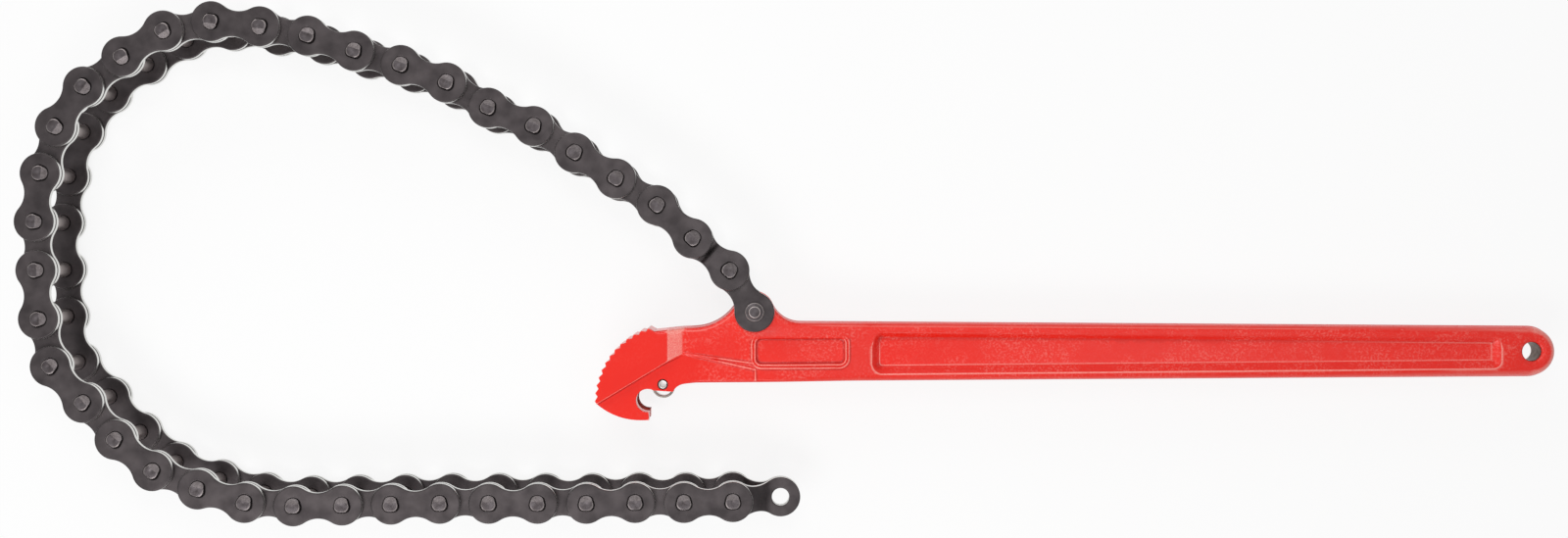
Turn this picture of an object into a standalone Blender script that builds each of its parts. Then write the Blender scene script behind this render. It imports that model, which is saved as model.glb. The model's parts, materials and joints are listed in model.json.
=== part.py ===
"""Chain flange wrench: a forged bar handle whose head carries a toothed jaw, a forked hook and a
38-pitch chain of flat riveted links that ends in an open eye.

The wrench lies flat. X runs along the handle, Y across it, and Z up through the width of the chain.
All pieces hang on one empty at the chain's pivot in the head, and each link on an empty at its own
rivet, so turning a link's empty about Z bends the chain there.
"""

import math

import bmesh
import bpy
from mathutils import Matrix, Vector

MM = 0.001

# Fits
FIT_GAP = 0.3 * MM
OVERRUN = 3 * MM
WELD_DISTANCE = 0.001 * MM
FLAT_DEGREES = 0.2

# Chain: plates stand in two rows, and each row has an inner and an outer level
PITCH = 25.4 * MM
INNER_SPAN = 29 * MM
PLATE_THICKNESS = 3.2 * MM
PLATE_RADIUS = 10.5 * MM
WAIST_HALF_HEIGHT = 6.7 * MM
PLATE_ARC_STEPS = 7
WAIST_STEPS = 2

# Rivets of the chain: the thick middle keeps the two inner plates apart
RIVET_RADIUS = 4 * MM
RIVET_SEAT_RADIUS = 3.4 * MM
RIVET_HEAD_RADIUS = 4.3 * MM
RIVET_HEAD_TOP_RADIUS = 3.9 * MM
RIVET_HEAD_HEIGHT = 1.5 * MM
RIVET_FLAT_SHARE = 0.8
RIVET_SIDES = 8

# Offset link, which steps from the outer level down to the inner one
CRANK_RUN = 1.9 * MM

# End link, whose two plates are bent in until they meet round the eye
EYE_RADIUS = 4.6 * MM
BEND_START = 6 * MM
BEND_RUN = 11 * MM
EYE_SIDES = 12

# Rivet through the head
PIVOT_HEAD_RADIUS = 4.6 * MM
PIVOT_HEAD_TOP_RADIUS = 3.4 * MM
PIVOT_HEAD_HEIGHT = 2.6 * MM
PIVOT_RIM_HEIGHT = 1.4 * MM
PIVOT_SIDES = 10

# Lay of the chain: the heading of each link in degrees, from the pivot to the open eye
LINK_HEADINGS = (
    121, 139, 137, 147, 148, 147, 158, 149, 159, 163, 162, 169, 174, 191, 212, 218, 235, 252, 263,
    272, 273, 284, 312, 311, 320, 338, 344, 356, 1, 1, 1, 0, 0, 0, 1, 0, 1, 0,
)
FLATS_TURN_AFTER_LINK = 12

# Head of the forging, seen from above, with the pivot at zero
EAR_RADIUS = 10.8 * MM
EAR_STEPS = 9
HANDLE_SIDE_FILLET = 16 * MM
JAW_SIDE_FILLET = 26 * MM
FILLET_STEPS = 5
BACK_LEVEL = -4.25 * MM
BACK_SLOPE = 0.1116
BACK_END_X = -52.4 * MM
TEETH_CENTRE = (-43.1 * MM, -46.75 * MM)
TEETH_RADIUS = 40.4 * MM
TOOTH_DEPTH = 1.4 * MM
TOOTH_LEAN_SHARE = 0.38
TOOTH_GAPS = 12
TEETH_START, TEETH_END = 108, 180
HOOK_BACK_X = -60 * MM
HOOK_BACK_RADIUS = 34.4 * MM
HOOK_TIP_WALL = 4.2 * MM
HOOK_BACK_START = 230
HOOK_BACK_STEPS = 5
NOTCH_CENTRE = (-55.9 * MM, -46.5 * MM)
NOTCH_RADIUS = 6.1 * MM
NOTCH_START, NOTCH_END = -84, -300
NOTCH_STEPS = 12
LATCH_BOSS_Y = -41.9 * MM
THROAT_X = -36 * MM
THROAT_RADIUS = 7.5 * MM
THROAT_START = 154
THROAT_STEPS = 3

# Thickness of the forging, as half heights along the handle
JAW_HALF_THICKNESS = 16.5 * MM
HEAD_HALF_THICKNESS = 14.2 * MM
JAW_FACET_X = (-45.9 * MM, -37.5 * MM)
TAPER_X = (14 * MM, 64 * MM)
BAR_HALF_THICKNESS = 8 * MM
END_HALF_THICKNESS = 6.65 * MM

# Hook cheeks: thinner than the jaw below a slanting line, with a slot for the chain's eye
CHEEK_LINE_START = (-81 * MM, -47.1 * MM)
CHEEK_LINE_Y = (-26 * MM, -22.2 * MM)
SLOT_WIDTH = 8 * MM
SLOT_RADIUS = 8.6 * MM
SLOT_STEPS = 4

# Bar handle
HANDLE_AXIS_Y = -21.3 * MM
HANDLE_HALF_WIDTH = 16.2 * MM
HANDLE_END_X = 411.8 * MM
HANDLE_END_RADIUS = 13.45 * MM
HANDLE_END_STEPS = 8
HANDLE_EDGE = 2.4 * MM
EDGE_START_X = -30 * MM
EDGE_LOWER_Y = -4.9 * MM
WALL_TILT_SHARE = 0.1
EYELET_RADIUS = 5 * MM
EYELET_MOUTH_RADIUS = 7 * MM
EYELET_MOUTH_DEPTH = 1.6 * MM
EYELET_SIDES = 12

# Bare name panel on the head, with its raised frame and the two ridges that run to the jaw
PANEL_X = (0.6 * MM, 48 * MM)
PANEL_Y = (-27.6 * MM, -13.8 * MM)
PANEL_CORNER = 3 * MM
PANEL_DEPTH = 1 * MM
FRAME_WIDTH = 2.4 * MM
RIDGE_WIDTH = 1.4 * MM
RIDGE_HEIGHT = 0.8 * MM
RIDGE_ORIGIN = (-36.4 * MM, -21.8 * MM)
UPPER_RIDGE_END_Y = -27 * MM
LOWER_RIDGE_END_Y = -30 * MM
RIDGE_FOOT_Y = -34.6 * MM

# Long hollow down both faces of the bar
HOLLOW_X = (64 * MM, 393.4 * MM)
HOLLOW_HALF_WIDTHS = (9.9 * MM, 7 * MM)
HOLLOW_CORNER = 4 * MM
WEB_HALF_THICKNESS = 4.5 * MM
CORNER_STEPS = 3

# Latch: a ring hung on a slit spring pin across the hook's cheeks
LATCH_PIN_CENTRE = (-48 * MM, -38 * MM)
LATCH_PIN_RADIUS = 2.5 * MM
LATCH_PIN_WALL = 0.7 * MM
LATCH_PIN_SLIT_DEGREES = 24
LATCH_PIN_STEPS = 12
LATCH_RING_RADIUS = 6 * MM
LATCH_RING_WALL = 1.2 * MM
LATCH_RING_SIDES = 16

# Levels of the chain, measured from its middle
INNER_FACE = INNER_SPAN / 2
INNER_LEVEL = (INNER_FACE, INNER_FACE + PLATE_THICKNESS)
OUTER_LEVEL = (INNER_LEVEL[1] + FIT_GAP, INNER_LEVEL[1] + FIT_GAP + PLATE_THICKNESS)
RIVET_TOP = OUTER_LEVEL[1] + RIVET_HEAD_HEIGHT
RIVET_SHOULDER = INNER_FACE - FIT_GAP
PLATE_HOLE_RADIUS = RIVET_SEAT_RADIUS + FIT_GAP

# Finishes: colour, roughness and metallic value
RED_PAINT = ("red_paint", (0.82, 0.03, 0.02), 0.42, 0.0)
BLACKENED_STEEL = ("blackened_steel", (0.07, 0.062, 0.064), 0.48, 0.75)
BRIGHT_STEEL = ("bright_steel", (0.5, 0.47, 0.45), 0.35, 1.0)


# Scene and mesh helpers

def clear_scene():
    for item in list(bpy.data.objects):
        bpy.data.objects.remove(item, do_unlink=True)


def new_collection(name):
    collection = bpy.data.collections.new(name)
    bpy.context.scene.collection.children.link(collection)
    return collection


def material_for(name, finish):
    """One Principled material for one piece."""
    _, colour, roughness, metallic = finish
    material = bpy.data.materials.new(name + "_" + finish[0])
    material.use_nodes = True
    shader = material.node_tree.nodes["Principled BSDF"]
    shader.inputs["Base Color"].default_value = (*colour, 1)
    shader.inputs["Roughness"].default_value = roughness
    shader.inputs["Metallic"].default_value = metallic
    material.diffuse_color = (*colour, 1)
    return material


def evaluated_mesh(source):
    """The welded, outward-facing mesh of an object with its modifiers applied and its flat faces whole."""
    depsgraph = bpy.context.evaluated_depsgraph_get()
    mesh = bpy.data.meshes.new_from_object(source.evaluated_get(depsgraph), depsgraph=depsgraph)
    editable = bmesh.new()
    editable.from_mesh(mesh)
    bmesh.ops.remove_doubles(editable, verts=editable.verts, dist=WELD_DISTANCE)
    bmesh.ops.dissolve_limit(editable, angle_limit=math.radians(FLAT_DEGREES), verts=editable.verts,
                             edges=editable.edges)
    bmesh.ops.recalc_face_normals(editable, faces=editable.faces)
    editable.to_mesh(mesh)
    editable.free()
    return mesh


def as_mesh_object(source):
    """Replace an object by a mesh object of the same name and place."""
    name, place = source.name, source.matrix_world.copy()
    mesh = evaluated_mesh(source)
    bpy.data.objects.remove(source, do_unlink=True)
    solid = bpy.data.objects.new(name, mesh)
    solid.matrix_world = place
    cutters.objects.link(solid)
    return solid


def combined(base, others, operation):
    """Join, cut or trim one mesh object by others, which are used up."""
    for other in others:
        step = base.modifiers.new(other.name, "BOOLEAN")
        step.operation = operation
        step.solver = "EXACT"
        step.object = other
    bpy.context.view_layer.update()
    result = as_mesh_object(base)
    for other in others:
        bpy.data.objects.remove(other, do_unlink=True)
    return result


def smooth_rounds(mesh):
    mesh.shade_smooth()
    mesh.set_sharp_from_angle(angle=math.radians(40))


def spoke(centre, radius, turn):
    """Point at a radius from a centre, with its angle in degrees."""
    return (centre[0] + radius * math.cos(math.radians(turn)), centre[1] + radius * math.sin(math.radians(turn)))


def arc(centre, radius, start, end, steps):
    """Points along an arc; the angles are in degrees, and it runs clockwise when end < start."""
    return [spoke(centre, radius, start + (end - start) * step / steps) for step in range(steps + 1)]


def circle(centre, radius, sides):
    return arc(centre, radius, 0, 360, sides)[:-1]


def rounded_rectangle(x_range, y_range, corner):
    """Outline with its four corners rounded, anticlockwise from the lower right one."""
    (left, right), (low, high) = x_range, y_range
    centres = ((right - corner, low + corner), (right - corner, high - corner),
               (left + corner, high - corner), (left + corner, low + corner))
    points = []
    for quarter, centre in enumerate(centres):
        points += arc(centre, corner, 90 * quarter - 90, 90 * quarter, CORNER_STEPS)
    return points


def extruded(name, outlines, low, high, upright=False):
    """Solid between two heights from outlines, the outer one first and then its holes.

    An upright one stands on its edge: its outline lies in the XZ plane, and it is extruded along Y.
    """
    curve = bpy.data.curves.new(name, "CURVE")
    curve.dimensions = "2D"
    curve.fill_mode = "BOTH"
    curve.extrude = (high - low) / 2
    for outline in outlines:
        spline = curve.splines.new("POLY")
        spline.points.add(len(outline) - 1)
        for point, (x, y) in zip(spline.points, outline):
            point.co = (x, y, 0, 1)
        spline.use_cyclic_u = True
    flat = bpy.data.objects.new(name, curve)
    cutters.objects.link(flat)
    middle = (low + high) / 2
    if upright:
        flat.rotation_euler.x = math.radians(90)
        flat.location.y = middle
    else:
        flat.location.z = middle
    bpy.context.view_layer.update()
    return as_mesh_object(flat)


def turned(name, profile, sides):
    """Solid turned about Z from points (radius, height) that run down its outer side."""
    mesh = bpy.data.meshes.new(name)
    mesh.from_pydata([(radius, 0, height) for radius, height in profile],
                     [(point, point + 1) for point in range(len(profile) - 1)], [])
    blank = bpy.data.objects.new(name, mesh)
    cutters.objects.link(blank)
    screw = blank.modifiers.new("turn", "SCREW")
    screw.steps = screw.render_steps = sides
    screw.use_merge_vertices = True
    screw.merge_threshold = WELD_DISTANCE
    bpy.context.view_layer.update()
    return as_mesh_object(blank)


def mirrored_profile(upper):
    """Full turned profile from its upper half, which starts on the axis."""
    return upper + [(radius, -height) for radius, height in reversed(upper)]


def moved(solid, x):
    """Shift a solid's mesh along X and keep its origin."""
    solid.data.transform(Matrix.Translation(Vector((x, 0, 0))))
    return solid


# Chain plates and rivets, with the origin on the link's first rivet and X towards the next one

def plate_outline():
    """Figure-eight outline: a disc round each rivet, joined by concave waists."""
    half = PITCH / 2
    waist_radius = (half ** 2 + WAIST_HALF_HEIGHT ** 2 - PLATE_RADIUS ** 2) / (
        2 * (PLATE_RADIUS - WAIST_HALF_HEIGHT))
    waist_height = WAIST_HALF_HEIGHT + waist_radius
    tangent = math.degrees(math.atan2(waist_height, half))
    points = arc((PITCH, 0), PLATE_RADIUS, tangent - 180, 180 - tangent, PLATE_ARC_STEPS)
    points += arc((half, waist_height), waist_radius, -tangent, tangent - 180, WAIST_STEPS)[1:-1]
    points += arc((0, 0), PLATE_RADIUS, tangent, 360 - tangent, PLATE_ARC_STEPS)
    points += arc((half, -waist_height), waist_radius, 180 - tangent, tangent, WAIST_STEPS)[1:-1]
    return points


def plate(name, level, holes):
    """Flat plate at one level above the middle of the chain."""
    return extruded(name, [plate_outline(), *holes], *level)


def below(level):
    """The same level on the other side of the middle."""
    return (-level[1], -level[0])


def rivet_shank(name):
    """Rivet between its heads: a thick middle and a thinner seat through the plates at each end."""
    seat_end = OUTER_LEVEL[1] - PLATE_THICKNESS / 4
    return turned(name, mirrored_profile([
        (0, seat_end),
        (RIVET_SEAT_RADIUS, seat_end),
        (RIVET_SEAT_RADIUS, RIVET_SHOULDER),
        (RIVET_RADIUS, RIVET_SHOULDER),
    ]), RIVET_SIDES)


def rivet_head(name, side):
    """Swaged head above (1) or below (-1) the chain, with a flat at -Y and a slanted face at +Y."""
    base = sum(OUTER_LEVEL) / 2
    flat_y = -RIVET_HEAD_RADIUS * RIVET_FLAT_SHARE
    slant_y = RIVET_HEAD_TOP_RADIUS * math.sin(math.pi / RIVET_SIDES)
    head = bmesh.new()
    half_side = Matrix.Rotation(math.pi / RIVET_SIDES, 4, "Z")
    bmesh.ops.create_cone(head, cap_ends=True, segments=RIVET_SIDES, radius1=RIVET_HEAD_RADIUS,
                          radius2=RIVET_HEAD_TOP_RADIUS, depth=RIVET_TOP - base,
                          matrix=Matrix.Translation(Vector((0, 0, (RIVET_TOP + base) / 2))) @ half_side)
    slant = Vector((0, RIVET_HEAD_HEIGHT, RIVET_HEAD_RADIUS - slant_y))
    for spot, outward in ((Vector((0, flat_y, 0)), Vector((0, -1, 0))),
                          (Vector((0, slant_y, RIVET_TOP)), slant.normalized())):
        everything = head.verts[:] + head.edges[:] + head.faces[:]
        cut = bmesh.ops.bisect_plane(head, geom=everything, plane_co=spot, plane_no=outward,
                                     dist=WELD_DISTANCE, clear_outer=True)
        rim = [item for item in cut["geom_cut"] if isinstance(item, bmesh.types.BMEdge)]
        bmesh.ops.edgeloop_fill(head, edges=rim)
    if side < 0:
        bmesh.ops.scale(head, vec=(1, 1, -1), verts=head.verts)
        bmesh.ops.reverse_faces(head, faces=head.faces)
    mesh = bpy.data.meshes.new(name)
    head.to_mesh(mesh)
    head.free()
    solid = bpy.data.objects.new(name, mesh)
    cutters.objects.link(solid)
    return solid


def rivet_pieces(x):
    """Shank and two heads of the rivet at a distance along the link."""
    pieces = [rivet_shank("shank"), rivet_head("head_above", 1), rivet_head("head_below", -1)]
    return [moved(piece, x) for piece in pieces]


def take_mesh(solid):
    """Keep a solid's mesh, for one or more pieces, and drop its object."""
    mesh = solid.data
    mesh.transform(solid.matrix_world)
    smooth_rounds(mesh)
    bpy.data.objects.remove(solid, do_unlink=True)
    return mesh


def outer_link_mesh():
    """Two plates at the outer level, riveted on a rivet at each end."""
    above = plate("outer_above", OUTER_LEVEL, [])
    others = [plate("outer_below", below(OUTER_LEVEL), [])] + rivet_pieces(0) + rivet_pieces(PITCH)
    return take_mesh(combined(above, others, "UNION"))


def inner_plate_mesh():
    """Plate that turns on the rivets at both ends, centred on its own middle plane."""
    holes = [circle((x, 0), PLATE_HOLE_RADIUS, RIVET_SIDES) for x in (0, PITCH)]
    return take_mesh(plate("inner", (-PLATE_THICKNESS / 2, PLATE_THICKNESS / 2), holes))


def bend_shift(drop, run):
    """How far the outer corner of a bent plate lies beyond its inner corner."""
    return PLATE_THICKNESS * math.tan(math.atan2(drop, run) / 2)


def offset_link_mesh():
    """Link that is riveted outside the first link's plates and steps inside the next one's."""
    drop = OUTER_LEVEL[0] - INNER_LEVEL[0]
    shift = bend_shift(drop, CRANK_RUN)
    start = (PITCH - CRANK_RUN - shift) / 2
    near, far = -PLATE_RADIUS - OVERRUN, PITCH + PLATE_RADIUS + OVERRUN
    strip = [(near, OUTER_LEVEL[0]), (start, OUTER_LEVEL[0]), (start + CRANK_RUN, INNER_LEVEL[0]),
             (far, INNER_LEVEL[0]), (far, INNER_LEVEL[1]), (start + CRANK_RUN + shift, INNER_LEVEL[1]),
             (start + shift, OUTER_LEVEL[1]), (near, OUTER_LEVEL[1])]
    lower_strip = [(x, -z) for x, z in reversed(strip)]
    hole = circle((PITCH, 0), PLATE_HOLE_RADIUS, RIVET_SIDES)
    blank = extruded("offset_blank", [plate_outline(), hole], -RIVET_TOP, RIVET_TOP)
    edge = PLATE_RADIUS + OVERRUN
    strips = extruded("offset_strips", [strip, lower_strip], -edge, edge, upright=True)
    plates = combined(blank, [strips], "INTERSECT")
    return take_mesh(combined(plates, rivet_pieces(0), "UNION"))


def end_link_mesh():
    """Last link: two inner-level plates bent in until they lie together round the open eye."""
    bend_end = BEND_START + BEND_RUN
    shift = bend_shift(INNER_FACE, BEND_RUN)
    near, far = -PLATE_RADIUS - OVERRUN, PITCH + PLATE_RADIUS + OVERRUN
    upper = [(near, INNER_LEVEL[0]), (near, INNER_LEVEL[1]), (BEND_START + shift, INNER_LEVEL[1]),
             (bend_end + shift, PLATE_THICKNESS), (far, PLATE_THICKNESS)]
    fork = [(BEND_START, INNER_LEVEL[0]), *upper]
    fork += [(x, -z) for x, z in reversed(fork)] + [(bend_end, 0)]
    holes = [circle((0, 0), PLATE_HOLE_RADIUS, RIVET_SIDES), circle((PITCH, 0), EYE_RADIUS, EYE_SIDES)]
    blank = extruded("end_blank", [plate_outline(), *holes], -RIVET_TOP, RIVET_TOP)
    edge = PLATE_RADIUS + OVERRUN
    bent = extruded("end_bends", [fork], -edge, edge, upright=True)
    return take_mesh(combined(blank, [bent], "INTERSECT"))


def pivot_pin_mesh():
    """Rivet through the head's ear: its stepped round heads hold the first link's two plates."""
    seat_top = INNER_LEVEL[1] + FIT_GAP
    rim_top = seat_top + PIVOT_RIM_HEIGHT
    top = seat_top + PIVOT_HEAD_HEIGHT
    return take_mesh(turned("pivot_blank", mirrored_profile([
        (0, top),
        (PIVOT_HEAD_TOP_RADIUS, top),
        (PIVOT_HEAD_RADIUS, rim_top),
        (PIVOT_HEAD_RADIUS, seat_top),
        (RIVET_SEAT_RADIUS, seat_top),
        (RIVET_SEAT_RADIUS, RIVET_SHOULDER),
        (RIVET_RADIUS, RIVET_SHOULDER),
    ]), PIVOT_SIDES))


# The forged body, with the origin on the chain's pivot

def handle_edge_y(x, side):
    """Upper (1) or lower (-1) edge line of the tapering handle."""
    taper = (HANDLE_HALF_WIDTH - HANDLE_END_RADIUS) / HANDLE_END_X
    return HANDLE_AXIS_Y + side * (HANDLE_HALF_WIDTH - taper * x)


def ear_fillet(level, slope, radius, side):
    """Fillet between the ear and the line y = level + slope x, on its right (1) or left (-1).

    Its centre lies at its radius above the line and at both radii from the pivot, which makes a
    quadratic in x. Returns the centre and the angle in degrees from the pivot to it.
    """
    stretch = 1 + slope ** 2
    height = level + radius * math.sqrt(stretch)
    reach = EAR_RADIUS + radius
    root = math.sqrt((height * slope) ** 2 - stretch * (height ** 2 - reach ** 2))
    x = (side * root - height * slope) / stretch
    centre = (x, height + slope * x)
    return centre, math.degrees(math.atan2(centre[1], centre[0]))


def head_top_outline():
    """From the handle's upper edge over the ear to the first tooth."""
    handle_slope = (handle_edge_y(HANDLE_END_X, 1) - handle_edge_y(0, 1)) / HANDLE_END_X
    right, right_turn = ear_fillet(handle_edge_y(0, 1), handle_slope, HANDLE_SIDE_FILLET, 1)
    left, left_turn = ear_fillet(BACK_LEVEL, BACK_SLOPE, JAW_SIDE_FILLET, -1)
    handle_foot = 270 + math.degrees(math.atan(handle_slope))
    back_foot = 270 + math.degrees(math.atan(BACK_SLOPE))
    points = arc(right, HANDLE_SIDE_FILLET, handle_foot, right_turn + 180, FILLET_STEPS)
    points += arc((0, 0), EAR_RADIUS, right_turn, left_turn, EAR_STEPS)[1:]
    points += arc(left, JAW_SIDE_FILLET, left_turn + 180, back_foot, FILLET_STEPS)[1:]
    points.append((BACK_END_X, BACK_LEVEL + BACK_SLOPE * BACK_END_X))
    return points


def teeth_outline():
    """Ratchet teeth round the jaw, whose roots lie nearer to the tip above them."""
    step = (TEETH_END - TEETH_START) / TOOTH_GAPS
    points = []
    for tooth in range(TOOTH_GAPS):
        tip = TEETH_START + tooth * step
        points.append(spoke(TEETH_CENTRE, TEETH_RADIUS, tip))
        root = tip + step * TOOTH_LEAN_SHARE
        points.append(spoke(TEETH_CENTRE, TEETH_RADIUS - TOOTH_DEPTH, root))
    return [*points, spoke(TEETH_CENTRE, TEETH_RADIUS, TEETH_END)]


def hook_foot():
    """Level of the hook's lower edge, a wall below its notch."""
    return NOTCH_CENTRE[1] - NOTCH_RADIUS - HOOK_TIP_WALL


def hook_outline():
    """Back of the hook, its tip, the notch, the latch boss and the throat to the handle."""
    back_centre = (HOOK_BACK_X, hook_foot() + HOOK_BACK_RADIUS)
    points = arc(back_centre, HOOK_BACK_RADIUS, HOOK_BACK_START, 270, HOOK_BACK_STEPS)
    notch = arc(NOTCH_CENTRE, NOTCH_RADIUS, NOTCH_START, NOTCH_END, NOTCH_STEPS)
    points.append((notch[0][0], points[-1][1]))
    points += notch
    throat = (THROAT_X, handle_edge_y(THROAT_X, -1) - THROAT_RADIUS)
    throat_points = arc(throat, THROAT_RADIUS, THROAT_START, 90, THROAT_STEPS)
    points.append((throat_points[0][0], LATCH_BOSS_Y))
    return points + throat_points


def body_outline():
    """Whole forging seen from above, anticlockwise from the round end of the handle."""
    end = arc((HANDLE_END_X, HANDLE_AXIS_Y), HANDLE_END_RADIUS, -90, 90, HANDLE_END_STEPS)
    return end + head_top_outline() + teeth_outline() + hook_outline()


def thickness_profile(extra=0):
    """Side outline of the forging, thicker on each face by an extra height."""
    right = HANDLE_END_X + HANDLE_END_RADIUS + OVERRUN
    left = TEETH_CENTRE[0] - TEETH_RADIUS - OVERRUN
    steps = ((left, JAW_HALF_THICKNESS), (JAW_FACET_X[0], JAW_HALF_THICKNESS),
             (JAW_FACET_X[1], HEAD_HALF_THICKNESS), (TAPER_X[0], HEAD_HALF_THICKNESS),
             (TAPER_X[1], BAR_HALF_THICKNESS), (right, END_HALF_THICKNESS))
    upper = [(x, height + extra) for x, height in steps]
    return upper + [(x, -height) for x, height in reversed(upper)]


def body_slab(name, extra=0):
    """The side outline as a slab that runs right across the forging."""
    low = hook_foot() - OVERRUN
    high = EAR_RADIUS + OVERRUN
    return extruded(name, [thickness_profile(extra)], low, high, upright=True)


def weigh_handle_edges(mesh):
    """Give a bevel weight to the long face edges of the handle."""
    editable = bmesh.new()
    editable.from_mesh(mesh)
    weight = editable.edges.layers.float.new("bevel_weight_edge")
    for edge in editable.edges:
        middle = (edge.verts[0].co + edge.verts[1].co) / 2
        walls = [face for face in edge.link_faces if abs(face.normal.z) < WALL_TILT_SHARE]
        on_handle = middle.x > EDGE_START_X and middle.y < EDGE_LOWER_Y
        if on_handle and len(walls) == 1 and len(edge.link_faces) == 2:
            edge[weight] = 1
    editable.to_mesh(mesh)
    editable.free()


def ridge(start, end, width):
    """Straight bar between two points, as an outline."""
    along = (Vector(end) - Vector(start)).normalized()
    across = Vector((-along.y, along.x)) * width / 2
    corners = (Vector(start) - across, Vector(end) - across, Vector(end) + across, Vector(start) + across)
    return [tuple(corner) for corner in corners]


def raised_lines():
    """Frame round the name panel and the ridges that run from it to the jaw, on both faces."""
    reach = JAW_HALF_THICKNESS + OVERRUN
    outer_x = (PANEL_X[0] - FRAME_WIDTH, PANEL_X[1] + FRAME_WIDTH)
    outer_y = (PANEL_Y[0] - FRAME_WIDTH, PANEL_Y[1] + FRAME_WIDTH)
    frame = extruded("frame", [rounded_rectangle(outer_x, outer_y, PANEL_CORNER + FRAME_WIDTH)],
                     -reach, reach)
    fold_x = outer_x[0] + FRAME_WIDTH
    lines = [extruded("upper_ridge", [ridge(RIDGE_ORIGIN, (fold_x, UPPER_RIDGE_END_Y), RIDGE_WIDTH)],
                      -reach, reach),
             extruded("lower_ridge", [ridge(RIDGE_ORIGIN, (fold_x, LOWER_RIDGE_END_Y), RIDGE_WIDTH)],
                      -reach, reach),
             extruded("foot_ridge", [ridge((fold_x, LOWER_RIDGE_END_Y + RIDGE_WIDTH / 2),
                                           (fold_x, RIDGE_FOOT_Y), RIDGE_WIDTH)], -reach, reach)]
    whole = combined(frame, lines, "UNION")
    return combined(whole, [body_slab("raised_slab", RIDGE_HEIGHT)], "INTERSECT")


def both_faces(name, outline, core):
    """Cutter that sinks an outline into both faces of the forging, down to a core."""
    reach = JAW_HALF_THICKNESS + OVERRUN
    return combined(extruded(name, [outline], -reach, reach), [core], "DIFFERENCE")


def panel_cutter():
    """Sunk name panel, left bare."""
    outline = rounded_rectangle(PANEL_X, PANEL_Y, PANEL_CORNER)
    return both_faces("cut_panel", outline, body_slab("panel_core", -PANEL_DEPTH))


def hollow_cutter():
    """Long hollow that leaves the bar a thin web between two flanges."""
    left, right = HOLLOW_X
    wide, narrow = HOLLOW_HALF_WIDTHS
    corner = HOLLOW_CORNER
    axis = HANDLE_AXIS_Y
    outline = arc((left + corner, axis + wide - corner), corner, 90, 180, CORNER_STEPS)
    outline += arc((left + corner, axis - wide + corner), corner, 180, 270, CORNER_STEPS)
    outline += [(right, axis - narrow), (right, axis + narrow)]
    web = extruded("web", [[(left - OVERRUN, axis - wide - OVERRUN), (right + OVERRUN, axis - wide - OVERRUN),
                            (right + OVERRUN, axis + wide + OVERRUN), (left - OVERRUN, axis + wide + OVERRUN)]],
                   -WEB_HALF_THICKNESS, WEB_HALF_THICKNESS)
    return both_faces("cut_hollow", outline, web)


def cheek_cutter():
    """Thins both faces of the hook below the slanting line."""
    start, corner = Vector(CHEEK_LINE_START), Vector((JAW_FACET_X[0], CHEEK_LINE_Y[0]))
    before = start - (corner - start) / 2
    low = hook_foot() - OVERRUN
    outline = [tuple(before), (before.x, low), (JAW_FACET_X[1], low), (JAW_FACET_X[1], CHEEK_LINE_Y[1]),
               tuple(corner)]
    reach = JAW_HALF_THICKNESS + 2 * OVERRUN
    core = extruded("cheek_core", [[(before.x - OVERRUN, low - OVERRUN), (OVERRUN, low - OVERRUN),
                                    (OVERRUN, OVERRUN), (before.x - OVERRUN, OVERRUN)]],
                    -HEAD_HALF_THICKNESS, HEAD_HALF_THICKNESS)
    return combined(extruded("cut_cheeks", [outline], -reach, reach), [core], "DIFFERENCE")


def slot_cutter():
    """Slot between the cheeks, round the latch pin and the notch and open at the bottom."""
    pin, notch = Vector(LATCH_PIN_CENTRE), Vector(NOTCH_CENTRE)
    lean = math.degrees(math.atan2(pin.y - notch.y, pin.x - notch.x)) + 90
    low = hook_foot() - OVERRUN
    outline = [(notch.x - SLOT_RADIUS, low)]
    outline += arc(NOTCH_CENTRE, SLOT_RADIUS, 180, lean, SLOT_STEPS)
    outline += arc(LATCH_PIN_CENTRE, SLOT_RADIUS, lean, 0, 2 * SLOT_STEPS)
    outline += [(pin.x + SLOT_RADIUS, low)]
    return extruded("cut_slot", [outline[::-1]], -SLOT_WIDTH / 2, SLOT_WIDTH / 2)


def bore_cutter(name, centre, radius, sides):
    """Round hole right through the forging."""
    reach = JAW_HALF_THICKNESS + OVERRUN
    return extruded(name, [circle(centre, radius, sides)], -reach, reach)


def eyelet_cutter():
    """Hanging hole with its mouths opened out on both faces."""
    slope = (BAR_HALF_THICKNESS - END_HALF_THICKNESS) / (HANDLE_END_X - TAPER_X[1])
    face = END_HALF_THICKNESS + slope * HANDLE_END_RADIUS
    flare = EYELET_MOUTH_RADIUS - EYELET_RADIUS
    cutter = turned("cut_eyelet", mirrored_profile([
        (0, face + OVERRUN),
        (EYELET_MOUTH_RADIUS + flare, face + OVERRUN),
        (EYELET_MOUTH_RADIUS, face),
        (EYELET_RADIUS, face - EYELET_MOUTH_DEPTH),
    ]), EYELET_SIDES)
    cutter.location = (HANDLE_END_X, HANDLE_AXIS_Y, 0)
    return cutter


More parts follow.
